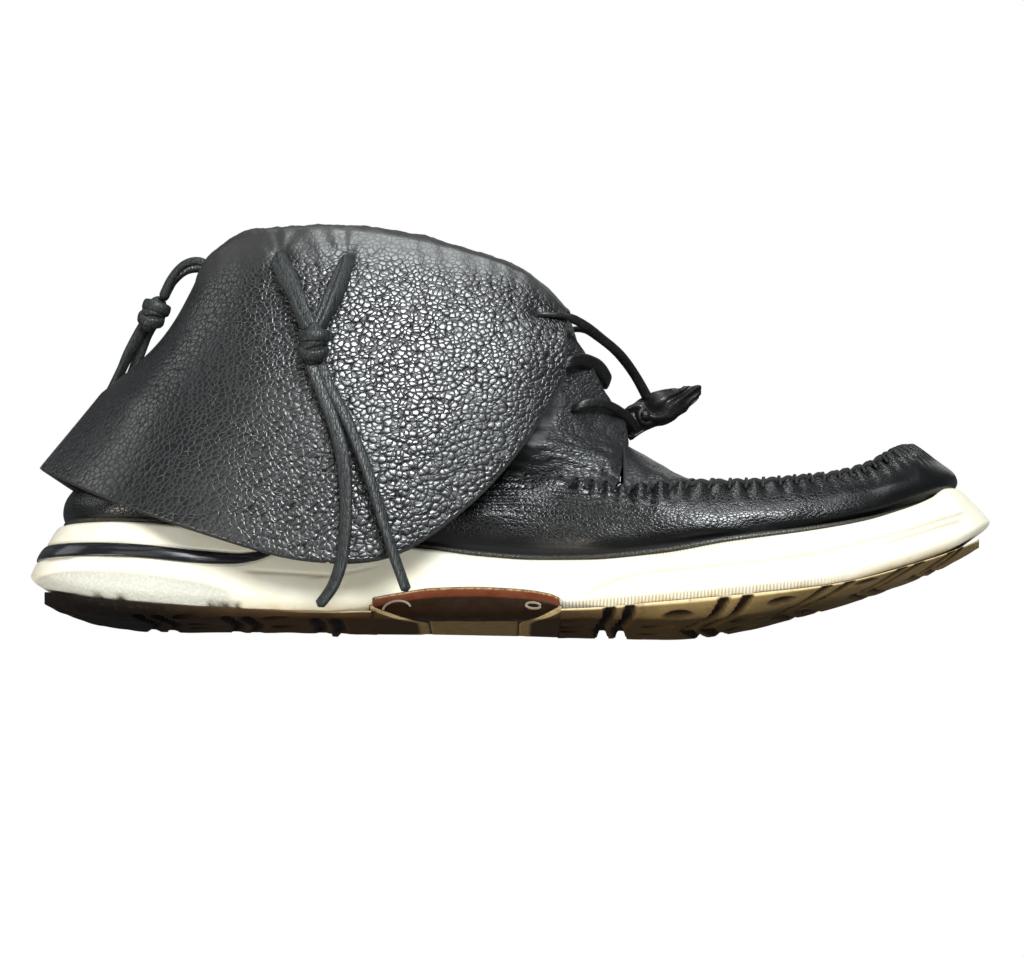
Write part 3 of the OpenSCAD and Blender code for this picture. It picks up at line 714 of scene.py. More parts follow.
def rubber():
    """Moulded gum rubber: gold toe, dark brown waist, near-black heel; painted shade in grooves,
    painted highlight on top edge.
    """
    f = Finish("gum_rubber")
    place = f.place()
    along = f.axis(place, "X")
    cloud = f.noise(place, 12.0, 5.0, 0.65)
    toe = f.mix(cloud, (0.13, 0.080, 0.026), (0.24, 0.160, 0.060))
    waist = f.mix(cloud, (0.045, 0.021, 0.006), (0.12, 0.064, 0.021))
    heel = f.mix(cloud, (0.002, 0.001, 0.0007), (0.013, 0.006, 0.0025))
    colour = f.mix(f.span(along, 16.0, 50.0), waist, toe)
    colour = f.mix(f.span(along, -66.0, -118.0), colour, heel)
    # Painted highlight: a light gold line along the top edge of the forefoot tread, fading out on
    # the heel tread's front.
    painted_edge_highlight = f.math("ADD", f.span(along, 5.0, 20.0), f.span(along, -45.0, -75.0, 0.75, 0.0))
    painted_edge_highlight = f.math("MINIMUM", painted_edge_highlight, 1.0)
    colour = f.mix(f.times(f.mask("top"), painted_edge_highlight), colour, (0.74, 0.58, 0.32))
    # Painted shade: near black down in the grooves and pits.
    colour = f.mix(f.times(f.mask("deep"), 0.94), colour, (0.016, 0.007, 0.003))
    dirt = f.span(f.noise(place, 2.6, 6.0, 0.72), 0.5, 0.75, 0.0, 0.6)
    colour = f.mix(dirt, colour, (0.05, 0.026, 0.011))
    normal = f.bump(f.noise(place, 0.8, 4.0, 0.6), 0.10)
    return f.done(colour, f.span(cloud, 0.3, 0.7, 0.62, 0.82), normal, Specular_IOR_Level=0.22)


def stripe_finish():
    f = Finish("glossy_stripe")
    place = f.place()
    scratch = f.noise(f.stretch(place, (0.08, 0.08, 1.5)), 1.2, 4.0, 0.7)
    colour = f.mix(f.span(scratch, 0.45, 0.8), (0.010, 0.010, 0.012), (0.05, 0.048, 0.052))
    normal = f.bump(scratch, 0.05)
    return f.done(colour, f.span(scratch, 0.3, 0.8, 0.16, 0.34), normal, Coat_Weight=0.4,
                  Coat_Roughness=0.12)


def shank_finish():
    """Brown moulded plastic with a reddish glossy lip."""
    f = Finish("brown_plastic")
    place = f.place()
    cloud = f.noise(place, 6.0, 5.0, 0.7)
    body = f.mix(cloud, (0.008, 0.003, 0.0008), (0.030, 0.0125, 0.0035))
    lip = f.mix(cloud, (0.075, 0.014, 0.003), (0.15, 0.036, 0.010))
    colour = f.mix(f.mask("lip"), body, lip)
    edge = f.mask("edge")
    colour = f.mix(f.times(edge, f.span(f.noise(place, 1.2, 4.0, 0.7), 0.35, 0.6)),
                   colour, (0.50, 0.33, 0.14))
    normal = f.bump(cloud, 0.3)
    return f.done(colour, f.span(cloud, 0.3, 0.7, 0.32, 0.58), normal, Specular_IOR_Level=0.18)


def frame_finish():
    f = Finish("gold_rubber")
    place = f.place()
    cloud = f.noise(place, 5.0, 5.0, 0.65)
    colour = f.mix(cloud, (0.040, 0.019, 0.005), (0.10, 0.055, 0.018))
    colour = f.mix(f.mask("top"), colour, f.mix(cloud, (0.30, 0.20, 0.08), (0.66, 0.52, 0.28)))
    dirt = f.span(f.noise(place, 1.5, 5.0, 0.7), 0.5, 0.75, 0.0, 0.75)
    colour = f.mix(dirt, colour, (0.05, 0.025, 0.010))
    return f.done(colour, 0.7, f.bump(cloud, 0.2), Specular_IOR_Level=0.22)


# Pale arcs over the shank's bosses: their pale colour is a painted highlight.
def boss_highlight_plastic():
    f = Finish("boss_highlight_plastic")
    place = f.place()
    cloud = f.noise(place, 2.0, 4.0, 0.65)
    colour = f.mix(cloud, (0.10, 0.065, 0.04), (0.34, 0.27, 0.20))
    return f.done(colour, 0.42, f.bump(cloud, 0.12))


def lining_finish():
    f = Finish("lining_leather")
    place = f.place()
    pores = f.span(f.cells(place, 0.55, "DISTANCE_TO_EDGE"), 0.0, 0.2)
    cloud = f.noise(place, 18.0, 4.0, 0.6)
    colour = f.mix(cloud, (0.050, 0.034, 0.024), (0.115, 0.078, 0.052))
    polish = f.span(f.noise(place, 30.0, 2.0), 0.45, 0.65)
    colour = f.mix(f.times(polish, 0.35), colour, (0.16, 0.12, 0.085))
    normal = f.bump(pores, 0.06, f.bump(f.noise(place, 4.0, 5.0, 0.6), 0.5))
    return f.done(colour, f.blend(polish, 0.72, 0.5), normal, Sheen_Weight=0.15)


def footbed_finish():
    f = Finish("footbed_leather")
    place = f.place()
    cloud = f.noise(place, 14.0, 5.0, 0.6)
    colour = f.mix(cloud, (0.10, 0.068, 0.040), (0.22, 0.155, 0.098))
    worn = f.mask("worn")
    colour = f.mix(f.times(worn, 0.75), colour, (0.045, 0.030, 0.020))
    pores = f.span(f.cells(place, 0.7, "DISTANCE_TO_EDGE"), 0.0, 0.18)
    hole = f.span(f.cells(f.stretch(place, (1, 1, 0)), 6.0, spread=0.0), 0.09, 0.13)
    colour = f.mix(hole, (0.012, 0.009, 0.007), colour)
    normal = f.bump(pores, 0.07, f.bump(cloud, 0.6))
    normal = f.bump(hole, 0.5, normal)
    return f.done(colour, f.blend(worn, 0.66, 0.42), normal)


def board_finish():
    f = Finish("fibre_board")
    place = f.place(cad=True)
    fleck = f.noise(f.stretch(place, (0.4, 1.2, 1)), 1.0, 5.0, 0.75)
    colour = f.mix(fleck, (0.30, 0.20, 0.11), (0.52, 0.39, 0.25))
    return f.done(colour, 0.88, f.bump(fleck, 0.15))


def thread_finish():
    f = Finish("waxed_thread")
    place = f.place()
    strand = f.add("TexWave", {"wave_type": "BANDS", "bands_direction": "DIAGONAL"}, out=1,
                   Vector=place, Scale=0.9, Distortion=1.5)
    colour = f.mix(strand, (0.006, 0.006, 0.007), (0.035, 0.035, 0.038))
    return f.done(colour, 0.48, f.bump(strand, 0.15))


cape_leather = leather("pebbled_leather", 2.0, 0.30, (0.0012, 0.0013, 0.0015),
                       (0.0075, 0.0086, 0.0092), 0.27, stretch=(1, 1, 0.92), smooth="smooth",
                       flesh=True, vein=0.25, shine=1.9, rear_calm=0.4, grow=1.2)
ankle_leather = leather("ankle_leather", 1.0, 0.15, (0.002, 0.0025, 0.003),
                        (0.012, 0.0135, 0.014), 0.34, stretch=(1.6, 1.6, 0.8), flesh=True,
                        vein=1.3, shine=1.7, shaded=True, shade_rough=0.55)
vamp_leather = leather("vamp_leather", 0.95, 0.10, (0.0012, 0.0014, 0.0015),
                       (0.005, 0.0055, 0.006), 0.23, stretch=(1.3, 1.3, 0.9), flesh=True,
                       vein=0.8, shine=1.62, shaded=True)
# The welt's lighter, brownish colours are a painted highlight along the rolled edge.
welt_leather = leather("welt_leather", 0.8, 0.08, (0.010, 0.008, 0.005), (0.032, 0.026, 0.015),
                       0.34, flesh=True, vein=0.6)
thong_leather = leather("thong_leather", 0.9, 0.14, (0.004, 0.006, 0.006),
                        (0.016, 0.020, 0.019), 0.42, stretch=(0.8, 0.8, 2.4), vein=1.4, worn=0.3)
bow_leather = leather("bow_leather", 0.9, 0.07, (0.0012, 0.001, 0.001), (0.009, 0.008, 0.0075),
                      0.34, stretch=(2.4, 0.8, 1.2), vein=1.0, worn=0.15)
foam_finish = foam()
rubber_finish = rubber()
band_finish = stripe_finish()
plastic_finish = shank_finish()
gold_finish = frame_finish()
boss_finish = boss_highlight_plastic()
inside_finish = lining_finish()
bed_finish = footbed_finish()
fibre_finish = board_finish()
string_finish = thread_finish()


# ---- free cords: the tails of the ties ----
def twisted(count, turns, start):
    """Width direction of a thong that turns slowly on its way down."""
    a = start + turns * 2 * math.pi * np.linspace(0, 1, count)
    return np.stack([np.cos(a), np.sin(a), np.zeros(count)], -1)


def tail(name, body, points, turns, start, taper=0.85, wide=1.0):
    """A free tail of thong leather, cut off square at its far end."""
    count = 90
    path = evenly(points, count)
    width = THONG_W * wide * np.linspace(1.04, taper, count) * (1 + 0.03 * ripple(path, 6, 11))
    points_out, faces = sweep(path, width, 2.3, twisted(count, turns, start), sides=16)
    made = piece(name + "_thong", points_out, faces, thong_leather, body, [name], "lace_leather")


for side_name, side_sign in SIDES:
    across = (1, side_sign, 1)
    tail(f"{side_name}_tail_front", f"{side_name}_tails", np.array(OUTER_FRONT_TAIL) * across,
         0.1 * side_sign, 0.05 * side_sign, taper=0.98)
    tail(f"{side_name}_tail_rear", f"{side_name}_tails", np.array(OUTER_REAR_TAIL) * across,
         -0.14 * side_sign, 0.2, taper=0.95, wide=1.2)
tail("back_tail_outer", "back_tails", HEEL_OUTER_TAIL, 0.25, 0.2, taper=0.6, wide=1.15)
tail("back_tail_inner", "back_tails", HEEL_INNER_TAIL, -0.3, 0.4)


# ---- sole ----
FRONT_LINE = [(19.7, 5.4), (27.2, 10), (39.2, 13.7), (57.3, 15.7), (87.6, 19.7), (119.8, 28.4),
              (138.3, 34.8), (144.4, 37.1)]
TOE_LINE = [(113.2, 23.9), (142.4, 34.3)]
HEEL_LINES = [([(-147, 18.5), (-134, 18.4)], 1.0), ([(-82, 14.4), (-54, 13.2)], 0.8),
              ([(-64, 12.1), (-50, 14.2), (-39, 17)], 0.45)]
STRIPE_MID = [(-150, 21.6), (-142, 21.4), (-126, 20.9), (-110, 19.9), (-95, 18.5), (-84, 18.1),
              (-78, 18.9), (-73, 20.6), (-68, 22.6), (-60, 26)]
STRIPE_HALF = [(-150, 2.1), (-95, 1.9), (-80, 1.4), (-70, 1.0), (-60, 0.7)]
NOTCHES = [(-127, 1.6), (-119.5, 1.6), (-91, 1.2), (-87, 2.2), (-83, 1)]    # place, width
PATCH_TOP = [(-150, 12.5), (-136, 14.2), (-119, 13.4), (-95, 10.4), (-82, 7)]


def side_inset(a, z, x):
    """How far the foam's side lies inside the widest outline at a height."""
    low, high = curve(RUBBER_Z, x), curve(RIM_Z, x)
    belly = low + 4
    under = ends(FOOT_IN, a) * (1 - np.sin(np.clip((z - low) / 4, 0, 1) * math.pi / 2))
    above = np.clip((z - belly) / np.maximum(high - belly, 1), 0, 1)
    return under + ends(RIM_IN, a) * above ** 1.15


def line_mask(x, z, table, width):
    """1 on a moulded line given as heights along x, fading over its width and at its ends."""
    xs = [p[0] for p in table]
    inside = fade(x, xs[0], xs[0] + 4) * fade(x, xs[-1], xs[-1] - 4)
    steep = np.abs(curve(table, x + 0.5) - curve(table, x - 0.5))
    return inside * hump((z - curve(table, x)) / np.sqrt(1 + steep**2), 0, width)


def midsole():
    around = np.linspace(0, 360, 900, endpoint=False)
    share = np.linspace(0, 1, 56)
    a, t = mesh_of(around, share)
    x = plan(a)[..., 0]
    z = lerp(curve(RUBBER_Z, x), curve(RIM_Z, x), t)
    rim_r = 1.2
    near_top = np.clip((z - curve(RIM_Z, x) + rim_r) / rim_r, 0, 1)
    inset = side_inset(a, z, x) + rim_r * (1 - np.sqrt(1 - near_top**2))
    line = line_mask(x, z, FRONT_LINE, 0.45) + line_mask(x, z, TOE_LINE, 0.45)
    for table, weight in HEEL_LINES:
        line += weight * line_mask(x, z, table, 0.5)
    patch = fade(z, curve(PATCH_TOP, x) + 0.3, curve(PATCH_TOP, x) - 0.3) * fade(x, -80, -88)
    step = line_mask(x, z, PATCH_TOP, 0.5)
    bed = np.abs(z - curve(STRIPE_MID, x)) / curve(STRIPE_HALF, x)
    recess = fade(bed, 1.5, 1.15) * fade(x, -62, -66)
    low = fade(z, curve(RUBBER_Z, x) + 3.4, curve(RUBBER_Z, x))
    notch = sum(hump(x, at, width) for at, width in NOTCHES)
    grime = np.clip(notch * fade(z, curve(RUBBER_Z, x) + 2.6, curve(RUBBER_Z, x) + 0.5), 0, 1)
    soft = ripple(np.stack([x, z, a], -1), 18, 3) * 0.12
    inset = inset + 0.5 * line + 0.35 * step + 0.45 * recess + 0.9 * grime + 0.25 * patch + soft
    side = raised(plan_in(a, inset), z)
    top_x = plan(around)[:, 0]
    rings = [side.transpose(1, 0, 2)]
    crest_in = lerp(np.array(RIM_IN), CUP_IN, 0.6)
    for inset_row, drop in ((crest_in, 0), (CUP_IN, 0.4), (CUP_IN, CUP_D)):
        rings.append(raised(plan_in(around, ends(inset_row, around)),
                            curve(RIM_Z, top_x) - drop)[None])
    rings = np.concatenate(rings)
    points, faces = stack(rings)
    extra = np.zeros((len(rings) - len(share), len(around)))
    ribs = (fade(z, curve(RUBBER_Z, x) + 2.6, curve(RUBBER_Z, x) + 1.6) * fade(x, 12, 18)
            * fade(x, 110, 80)
            + fade(z, curve(RIM_Z, x) - 2.2, curve(RIM_Z, x) - 1.2) * fade(x, 34, 44)
            * fade(x, 86, 72) * 0.6)

    def whole(mask):
        return np.concatenate([np.clip(mask, 0, 1).T, extra]).ravel()

    piece("midsole_foam", points, faces, foam_finish, "root", ["midsole"], "midsole_foam",
          line=whole(line + 0.5 * step * fade(x, -84, -92)), patch=whole(patch), low=whole(low),
          ribs=whole(ribs), grime=whole(grime))


def heel_stripe():
    """Glossy band that rises and thins towards the waist."""
    a, q = mesh_of(np.linspace(113, 247, 260), np.linspace(-1, 1, 11))
    x = plan(a)[..., 0]
    z = curve(STRIPE_MID, x) + q * curve(STRIPE_HALF, x)
    proud = 0.75 * np.sqrt(np.clip(1 - (q * 0.92) ** 2, 0, 1)) - 0.1
    inset = side_inset(a, z, x)
    outer, inner = (raised(plan_in(a, depth), z) for depth in (inset - proud, inset + 1.4))
    points, faces, _ = slab(outer, inner, bulge=0.1)
    piece("heel_stripe_band", points, faces, band_finish, "root", ["heel_stripe"], "gloss_stripe")


LUG_EDGES = [(30.3, 3), (36.4, 3.5), (65, 12), (72, 13), (96, 15), (103, 15), (119.5, 16),
             (125, 16), (135.7, 15), (139.7, 14)]
FOREFOOT_PITS = [(51, 6.5, 4.4, 2.6), (45.5, 33, 4.4, 5), (82.5, 6, 4.4, 2.6), (73, 33, 4.4, 5),
                 (108.5, 5, 3.8, 2.4), (96, 28, 4, 4), (20, 9, 3.8, 2.4), (19, 34, 4, 5)]
HEEL_EDGES = [(-54, -2), (-60, -2), (-82, -6), (-88, -6), (-110, -10), (-116, -10)]
HEEL_PITS = [(-71, 8, 4, 2.6), (-70, 33, 4, 4), (-99, 8, 4, 2.6), (-96, 30, 4, 4)]
SIDE_ROLL = [(-150, 11), (50, 11), (85, 15), (115, 22), (150, 22)]  # reach of the rounded side
SWEEP_REACH = 62.0       # inset at which a groove has swept back its full length
END_ROUND = 13.0         # length over which the toe and heel of the rubber are rounded in plan


def tread(name, node, x0, x1, edges, pits, steps, start=(-2, -1)):
    """Rubber under one end of the sole: lugs between curved grooves, with oval pits."""
    share = np.linspace(0, 1, steps)
    xs = lerp(x0, x1, np.sin(share * math.pi / 2))
    x, u = mesh_of(xs, np.linspace(-1, 1, 91))
    q_side = np.linspace(0, 1, 24)

    def section(side):
        """Side wall from the top edge down to the ground edge."""
        gx, q = mesh_of(xs, q_side)
        turn = q * math.pi / 2
        flare = fade(np.abs(gx - x0), 14, 0)
        past = np.clip((np.abs(gx - x1 / 2) - abs(x1) / 2 + END_ROUND) / END_ROUND, 0, 0.999)
        edge = outline_y(gx, side) - side * (2.2 - 3.3 * flare - 1.2 * fade(gx, 60, 110))
        edge = edge * np.sqrt(1 - past**2)
        reach = np.minimum(curve(SIDE_ROLL, gx) - 3 * flare, 0.8 * np.abs(edge))
        y = edge - side * reach * (1 - np.cos(turn))
        z = lerp(curve(RUBBER_Z, gx), curve(GROUND_Z, gx), np.sin(turn))
        slope = np.stack([0 * q, -side * np.cos(turn), np.sin(turn) + 0.1], -1)
        return np.stack([gx, y, z], -1), unit(slope), np.clip((0.14 - q) / 0.07, 0, 1)

    left, left_n, left_top = section(-1)
    right, right_n, right_top = section(1)
    low_y, high_y = left[:, -1:, 1], right[:, -1:, 1]
    y = lerp(low_y, high_y, (u + 1) / 2)
    z = curve(GROUND_Z, x) + 0 * u
    under = np.stack([x, y, z], -1)[:, 1:-1]
    up = np.zeros_like(under)
    up[..., 2] = 1
    outer = np.concatenate([left, under, right[:, ::-1]], 1)
    inward = np.concatenate([left_n, up, right_n[:, ::-1]], 1)
    top = np.concatenate([left_top, np.zeros(under.shape[:2]), right_top[:, ::-1]], 1)
    gx, gy = outer[..., 0], outer[..., 1]
    edge = np.where(gy < 0, outline_y(gx, -1), outline_y(gx, 1))
    from_edge = np.abs(edge - gy)
    groove = np.zeros_like(gx)
    for at, sweep_back in edges:
        centre = at - sweep_back * (np.clip(from_edge - 2, 0, None) / SWEEP_REACH) ** 0.65
        groove = np.maximum(groove, fade(np.abs(gx - centre), 2.0, 1.2))
    groove *= fade(top, 1.3, 0.6) * fade(from_edge, 49, 45) * fade(from_edge, *start)
    pit = np.zeros_like(gx)
    for px, inset, rx, ry in pits:
        reach = np.hypot((gx - px) / rx, (from_edge - inset) / ry)
        pit = np.maximum(pit, fade(reach, 1.12, 0.85))
    lip = 0.5 * top
    room = curve(RUBBER_Z, gx) - curve(GROUND_Z, gx)
    deep = np.maximum(np.minimum(2.6, 0.7 * room) * groove, np.minimum(1.8, 0.5 * room) * pit)
    depth = deep - 0.3 * lip
    worn = 0.12 * ripple(outer, 7, 21)
    outer = outer + inward * (depth + np.maximum(worn, -0.1))[..., None]
    outer[..., 2] = np.maximum(outer[..., 2], 0)
    across = np.linspace(0, 1, outer.shape[1])
    inner = lerp(left[:, :1] + (0, 1.2, 0), right[:, :1] - (0, 1.2, 0), across[None, :, None])
    inner[..., 2] += 0.4 * np.sin(math.pi * across)
    points, faces, _ = slab(outer, inner, bulge=0.0)
    # The deep mask carries the painted groove shade, the top mask the painted edge highlight.
    piece(name, points, faces, rubber_finish, "root", [node], "gum_rubber",
          deep=on_points(points, np.maximum(groove, pit)), top=on_points(points, top))


SHANK_TOP = [(-42, 6.2), (-33, 7.9), (-24, 9.2), (-12, 9.6), (3, 8.9), (12, 7.4), (15, 6.1)]
SHANK_X = (-41.8, 14.8)
SHANK_BASE_X = (-25.0, 3.0)
SHANK_KEYS = 14          # places across the shank, counted from one lip to the other


def shank_skin(x, k):
    """Outer skin of the waist, at places k = 0..SHANK_KEYS from one lip to the other."""
    lip, flat = curve(SHANK_TOP, x), np.zeros_like(x)
    keys = []
    for side in (-1, 1):
        edge = outline_y(x, side)
        half = [(edge + side * 0.9, lip), (edge + side * 1.1, lip - 1.6),
                (edge + side * 0.3, lip * 0.45 + 0.6), (edge - side * 1.6, 2.1 + flat),
                (edge - side * 5, 0.5 + flat), (edge - side * 12, 0.3 + flat),
                (edge * 0.5, 0.3 + flat)]
        keys += half + [(flat, 0.3 + flat)] if side < 0 else half[::-1]
    ys, zs = (np.stack(column, -1) for column in zip(*keys))
    at = np.clip(np.floor(k).astype(int), 0, len(keys) - 2)
    u = k - at

    def along(table):
        near = [np.take_along_axis(table, np.clip(at + step, 0, len(keys) - 1)[..., None], -1)
                for step in (-1, 0, 1, 2)]
        return spline(*[values[..., 0] for values in near], u)

    return np.stack([x, along(ys), along(zs)], -1)


def shank_core(skin, depth):
    """The skin moved into the sole."""
    middle = (outline_y(skin[..., 0], -1) + outline_y(skin[..., 0], 1)) / 2
    off = skin[..., 1] - middle
    side = fade(np.abs(off), 26, 33)
    core = skin.copy()
    core[..., 1] -= np.sign(off) * side * depth
    core[..., 2] += depth * (1 - side * 0.8)
    return core


def shank():
    """Moulded waist piece: a lip up both sides and a plate between them, in a pale frame."""
    x, k = mesh_of(np.linspace(*SHANK_X, 90), np.linspace(0, SHANK_KEYS, 150))
    outer = shank_skin(x, k)
    points, faces, _ = slab(outer, shank_core(outer, 1.9), bulge=0.1)
    height = outer[..., 2] - curve(SHANK_TOP, x)
    lip, rim = fade(height, -2.9, -2.2), fade(height, -0.6, -0.1)
    piece("shank_body", points, faces, plastic_finish, "root", ["shank_plate"], "shank_plastic",
          lip=on_points(points, lip), edge=on_points(points, rim))
    wedges, tops = [], []
    for near, far in zip(SHANK_X, SHANK_BASE_X):
        u, k = mesh_of(np.linspace(0, 1, 24), np.linspace(1.6, 12.4, 120))
        low = np.minimum(k, SHANK_KEYS - k)
        reach = fade(low, 1.6, 5.0) * 0.75 + 0.25 * fade(low, 3, 6)
        x = lerp(near + math.copysign(0.7, near), lerp(near, far, reach), u)
        skin = shank_core(shank_skin(x, k), -0.3)
        wedges.append(slab(skin, shank_core(skin, 1.5), bulge=0.3)[:2])
        edge = fade(np.abs(x - lerp(near, far, reach)), 3.6, 2.8)
        tops.append(on_points(wedges[-1][0], edge))
    x, k = mesh_of(np.linspace(-24.5, 2.5, 40), np.linspace(4.6, 9.4, 60))
    skin = shank_core(shank_skin(x, k), -0.3)
    skin[..., 2] = np.maximum(skin[..., 2], 0.02)
    wedges.append(slab(skin, shank_core(skin, 1.2), bulge=0.3)[:2])
    tops.append(on_points(wedges[-1][0], np.full_like(x, 0.8)))
    points, faces = joined(*wedges)
    points[:, 2] = np.maximum(points[:, 2], 0)
    piece("shank_frame", points, faces, gold_finish, "root", [], "gum_rubber",
          top=np.concatenate(tops))
    rings = []
    for side in (-1, 1):
        for boss_x, rx, rz, turn in ((-34.5, 4.2, 2.6, (0.05, 1.0)), (7, 2.2, 0.9, (0, 2))):
            t = np.linspace(*turn, 36) * math.pi
            x = boss_x + rx * np.cos(t)
            base = shank_skin(x, np.full_like(x, 1.9 if side < 0 else 12.1))
            path = np.stack([x, base[:, 1] + side * 0.25, base[:, 2] + rz * (np.sin(t) - 0.5)], -1)
            rings.append(sweep(path, 1.0, 0.8, (0, 1, 0), sides=8))
    piece("shank_bosses", *joined(*rings), boss_finish, "root", [], "shank_plastic")


def footbed():
    """Cushioned insole: a shallow dish with a crowned edge and a worn heel and ball."""
    around = np.linspace(0, 360, 240, endpoint=False)
    rows = []
    base = BOARD_T - CUP_D + 0.2
    profile = [(0.6, base), (0, base + 1), (0, base + 3), (0.8, base + 4.0), (2.2, base + 4.3)]
    for inset, lift in profile:
        q = plan_in(around, ends((9.5, 17, 15), around) + inset)
        rows.append(raised(q, curve(RIM_Z, q[:, 0]) + lift))
    edge = rows[-1]
    spine = edge.copy()
    spine[:, 1] = curve(TOE_SWING, edge[:, 0])
    spine[:, 0] = np.clip(edge[:, 0], -118, 112)
    for t in np.linspace(0.06, 0.97, 16):
        row = lerp(edge, spine, t)
        row[:, 2] = curve(RIM_Z, row[:, 0]) + base + 4.3 - 1.2 * math.sin(t * math.pi / 2)
        row[:, 2] += 0.12 * ripple(row, 14, 5)
        rows.append(row)
    points, faces = stack(np.stack(rows))
    heel = np.exp(-((points[:, 0] + 88) / 26) ** 2 - (points[:, 1] / 17) ** 2)
    ball = np.exp(-((points[:, 0] - 55) / 30) ** 2 - (points[:, 1] / 24) ** 2)
    made = piece("footbed_pad", points, faces, bed_finish, "root", ["footbed"], "footbed_lining",
                 worn=np.clip(heel + ball, 0, 1))


def fine_angles():
    """Angles round the shoe, close together over the gathered toe."""
    front = np.arange(-84, 84, 0.36)
    return np.concatenate([front, np.linspace(84, 276, 150, endpoint=False)])


def welt():
    """Rolled black edge between the wall and the foam; its lighter brownish colour is a painted
    highlight.
    """
    around = np.linspace(0, 360, 360, endpoint=False)
    q = plan_in(around, ends((6.4, 11.9, 10.9), around))
    path = raised(q, curve(RIM_Z, q[:, 0]) + 0.8)
    points, faces = sweep(path, 1.9, 1.6, (0, 0, 1), sides=10, closed=True, square=0.9)
    piece("welt_roll", points, faces, welt_leather, "root", ["welt"], "upper_leather",
          inner=np.zeros(len(points)))


STITCHES = 24
STITCH_FROM, STITCH_TO = 14.0, 77.0
ANKLE_STEP = 1.75        # degrees between the puckers of the ankle seam


def gather(a):
    """1 midway between two stitches and 0 at each, and a share that fades out behind the ankle."""
    step = (STITCH_TO - STITCH_FROM) / (STITCHES - 1)
    off = np.abs(((a + 180) % 360) - 180)
    beat = np.minimum(off - STITCH_FROM, STITCH_TO - STITCH_FROM) / step
    beat = beat + np.maximum(off - STITCH_TO, 0) / ANKLE_STEP
    wave = 0.5 - 0.5 * np.cos(2 * math.pi * beat)
    return np.abs(wave) ** 0.8, fade(off, 96, 88)


def wall_piece():
    """Side leather, gathered along the seam and creased below it."""
    v_rows = np.concatenate([np.linspace(0, 0.3, 5), np.linspace(0.33, 1, 52)])
    a, v = mesh_of(fine_angles(), v_rows)
    flat = wall(a, v, 0 * v)
    x, z = flat[..., 0], flat[..., 2]
    wave, held = gather(a)
    uneven = np.clip(1 + 0.5 * ripple(np.stack([x, 0 * x, 0 * x], -1), 9, 7), 0.2, 1.7)
    ankle = fade(x, 38, 26)
    reach = fade(v, 0.66 + 0.2 * ankle, 1.0)
    pucker = held * reach * (1.7 * wave - 0.5) * uneven * lerp(0.9, 0.6, fade(x, 60, 95))
    pucker = pucker * lerp(1, 0.7, ankle)
    crease_zone = fade(x, -35, -5) * fade(x, 52, 26) * hump(v, 0.80, 0.17)
    crease = 0.32 * crease_zone * np.sin(2 * math.pi * (z + 0.5 * ripple(flat, 16, 8)) / 2.1)
    fold = 0.22 * ripple(flat, 9, 9, (1.5, 1.5, 0.8)) * fade(v, 0.3, 0.45)
    slack = 0.45 * ripple(flat, 26, 10) * fade(v, 0.3, 0.5)
    slack = slack + 2.2 * fade(x, 110, 134) * hump(v, 0.42, 0.25)
    undercut = 2.4 * np.clip(1 - v / 0.42, 0, 1) ** 1.6
    out = pucker + crease + fold + slack - undercut
    outer, inner = wall(a, v, -out), wall(a, v, np.full_like(v, LEATHER_T) - 0.6 * out)
    for grid in (outer, inner):
        grid[..., 2] += held * fade(v, 0.8, 1.0) * (0.9 * wave - 0.4)
    points, faces, mask = slab(outer, inner, closed=True)
    # Painted shade: darker towards the foot of the wall and low over the toe.
    shade = np.maximum(0.9 * fade(v, 0.50, 0.34), 0.75 * fade(x, 80, 120) * fade(v, 0.95, 0.6))
    piece("vamp_wall", points, faces, vamp_leather, "root", ["moccasin_wall"], "upper_leather",
          inner=mask, shade=on_points(points, shade))


def apron_at(a, q, drop):
    left, right = wall(-a, np.ones_like(a), 0 * a), wall(a, np.ones_like(a), 0 * a)
    x = (left[..., 0] + right[..., 0]) / 2
    z = (left[..., 2] + right[..., 2]) / 2
    bow = 1 - (2 * q - 1) ** 2
    p = lerp(left, right, q[..., None])
    p[..., 2] = z + 0.6 + (curve(APRON_MID, x) - z) * bow**0.8 - drop
    return p


def apron_piece():
    """Plug over the toes, pulled into small pleats along its stitched edge."""
    a, q = mesh_of(np.linspace(13.6, 77.4, 190), np.linspace(0, 1, 64))
    near = np.minimum(q, 1 - q)
    wave, _ = gather(a)
    pleat = fade(near, 0.16, 0.0) * (0.8 * wave - 0.2)
    top = apron_at(a, q, 0 * q)
    relief = pleat + 0.3 * ripple(top, 14, 14) * fade(near, 0.02, 0.2) + 0.07 * ripple(top, 5, 15)
    top[..., 2] += relief
    low = apron_at(a, q, np.full_like(q, 1.8))
    low[..., 2] += 0.7 * relief
    points, faces, mask = slab(top, low)
    piece("apron_plug", points, faces, ankle_leather, "root", ["apron"], "upper_leather",
          inner=mask, shade=0 * mask)


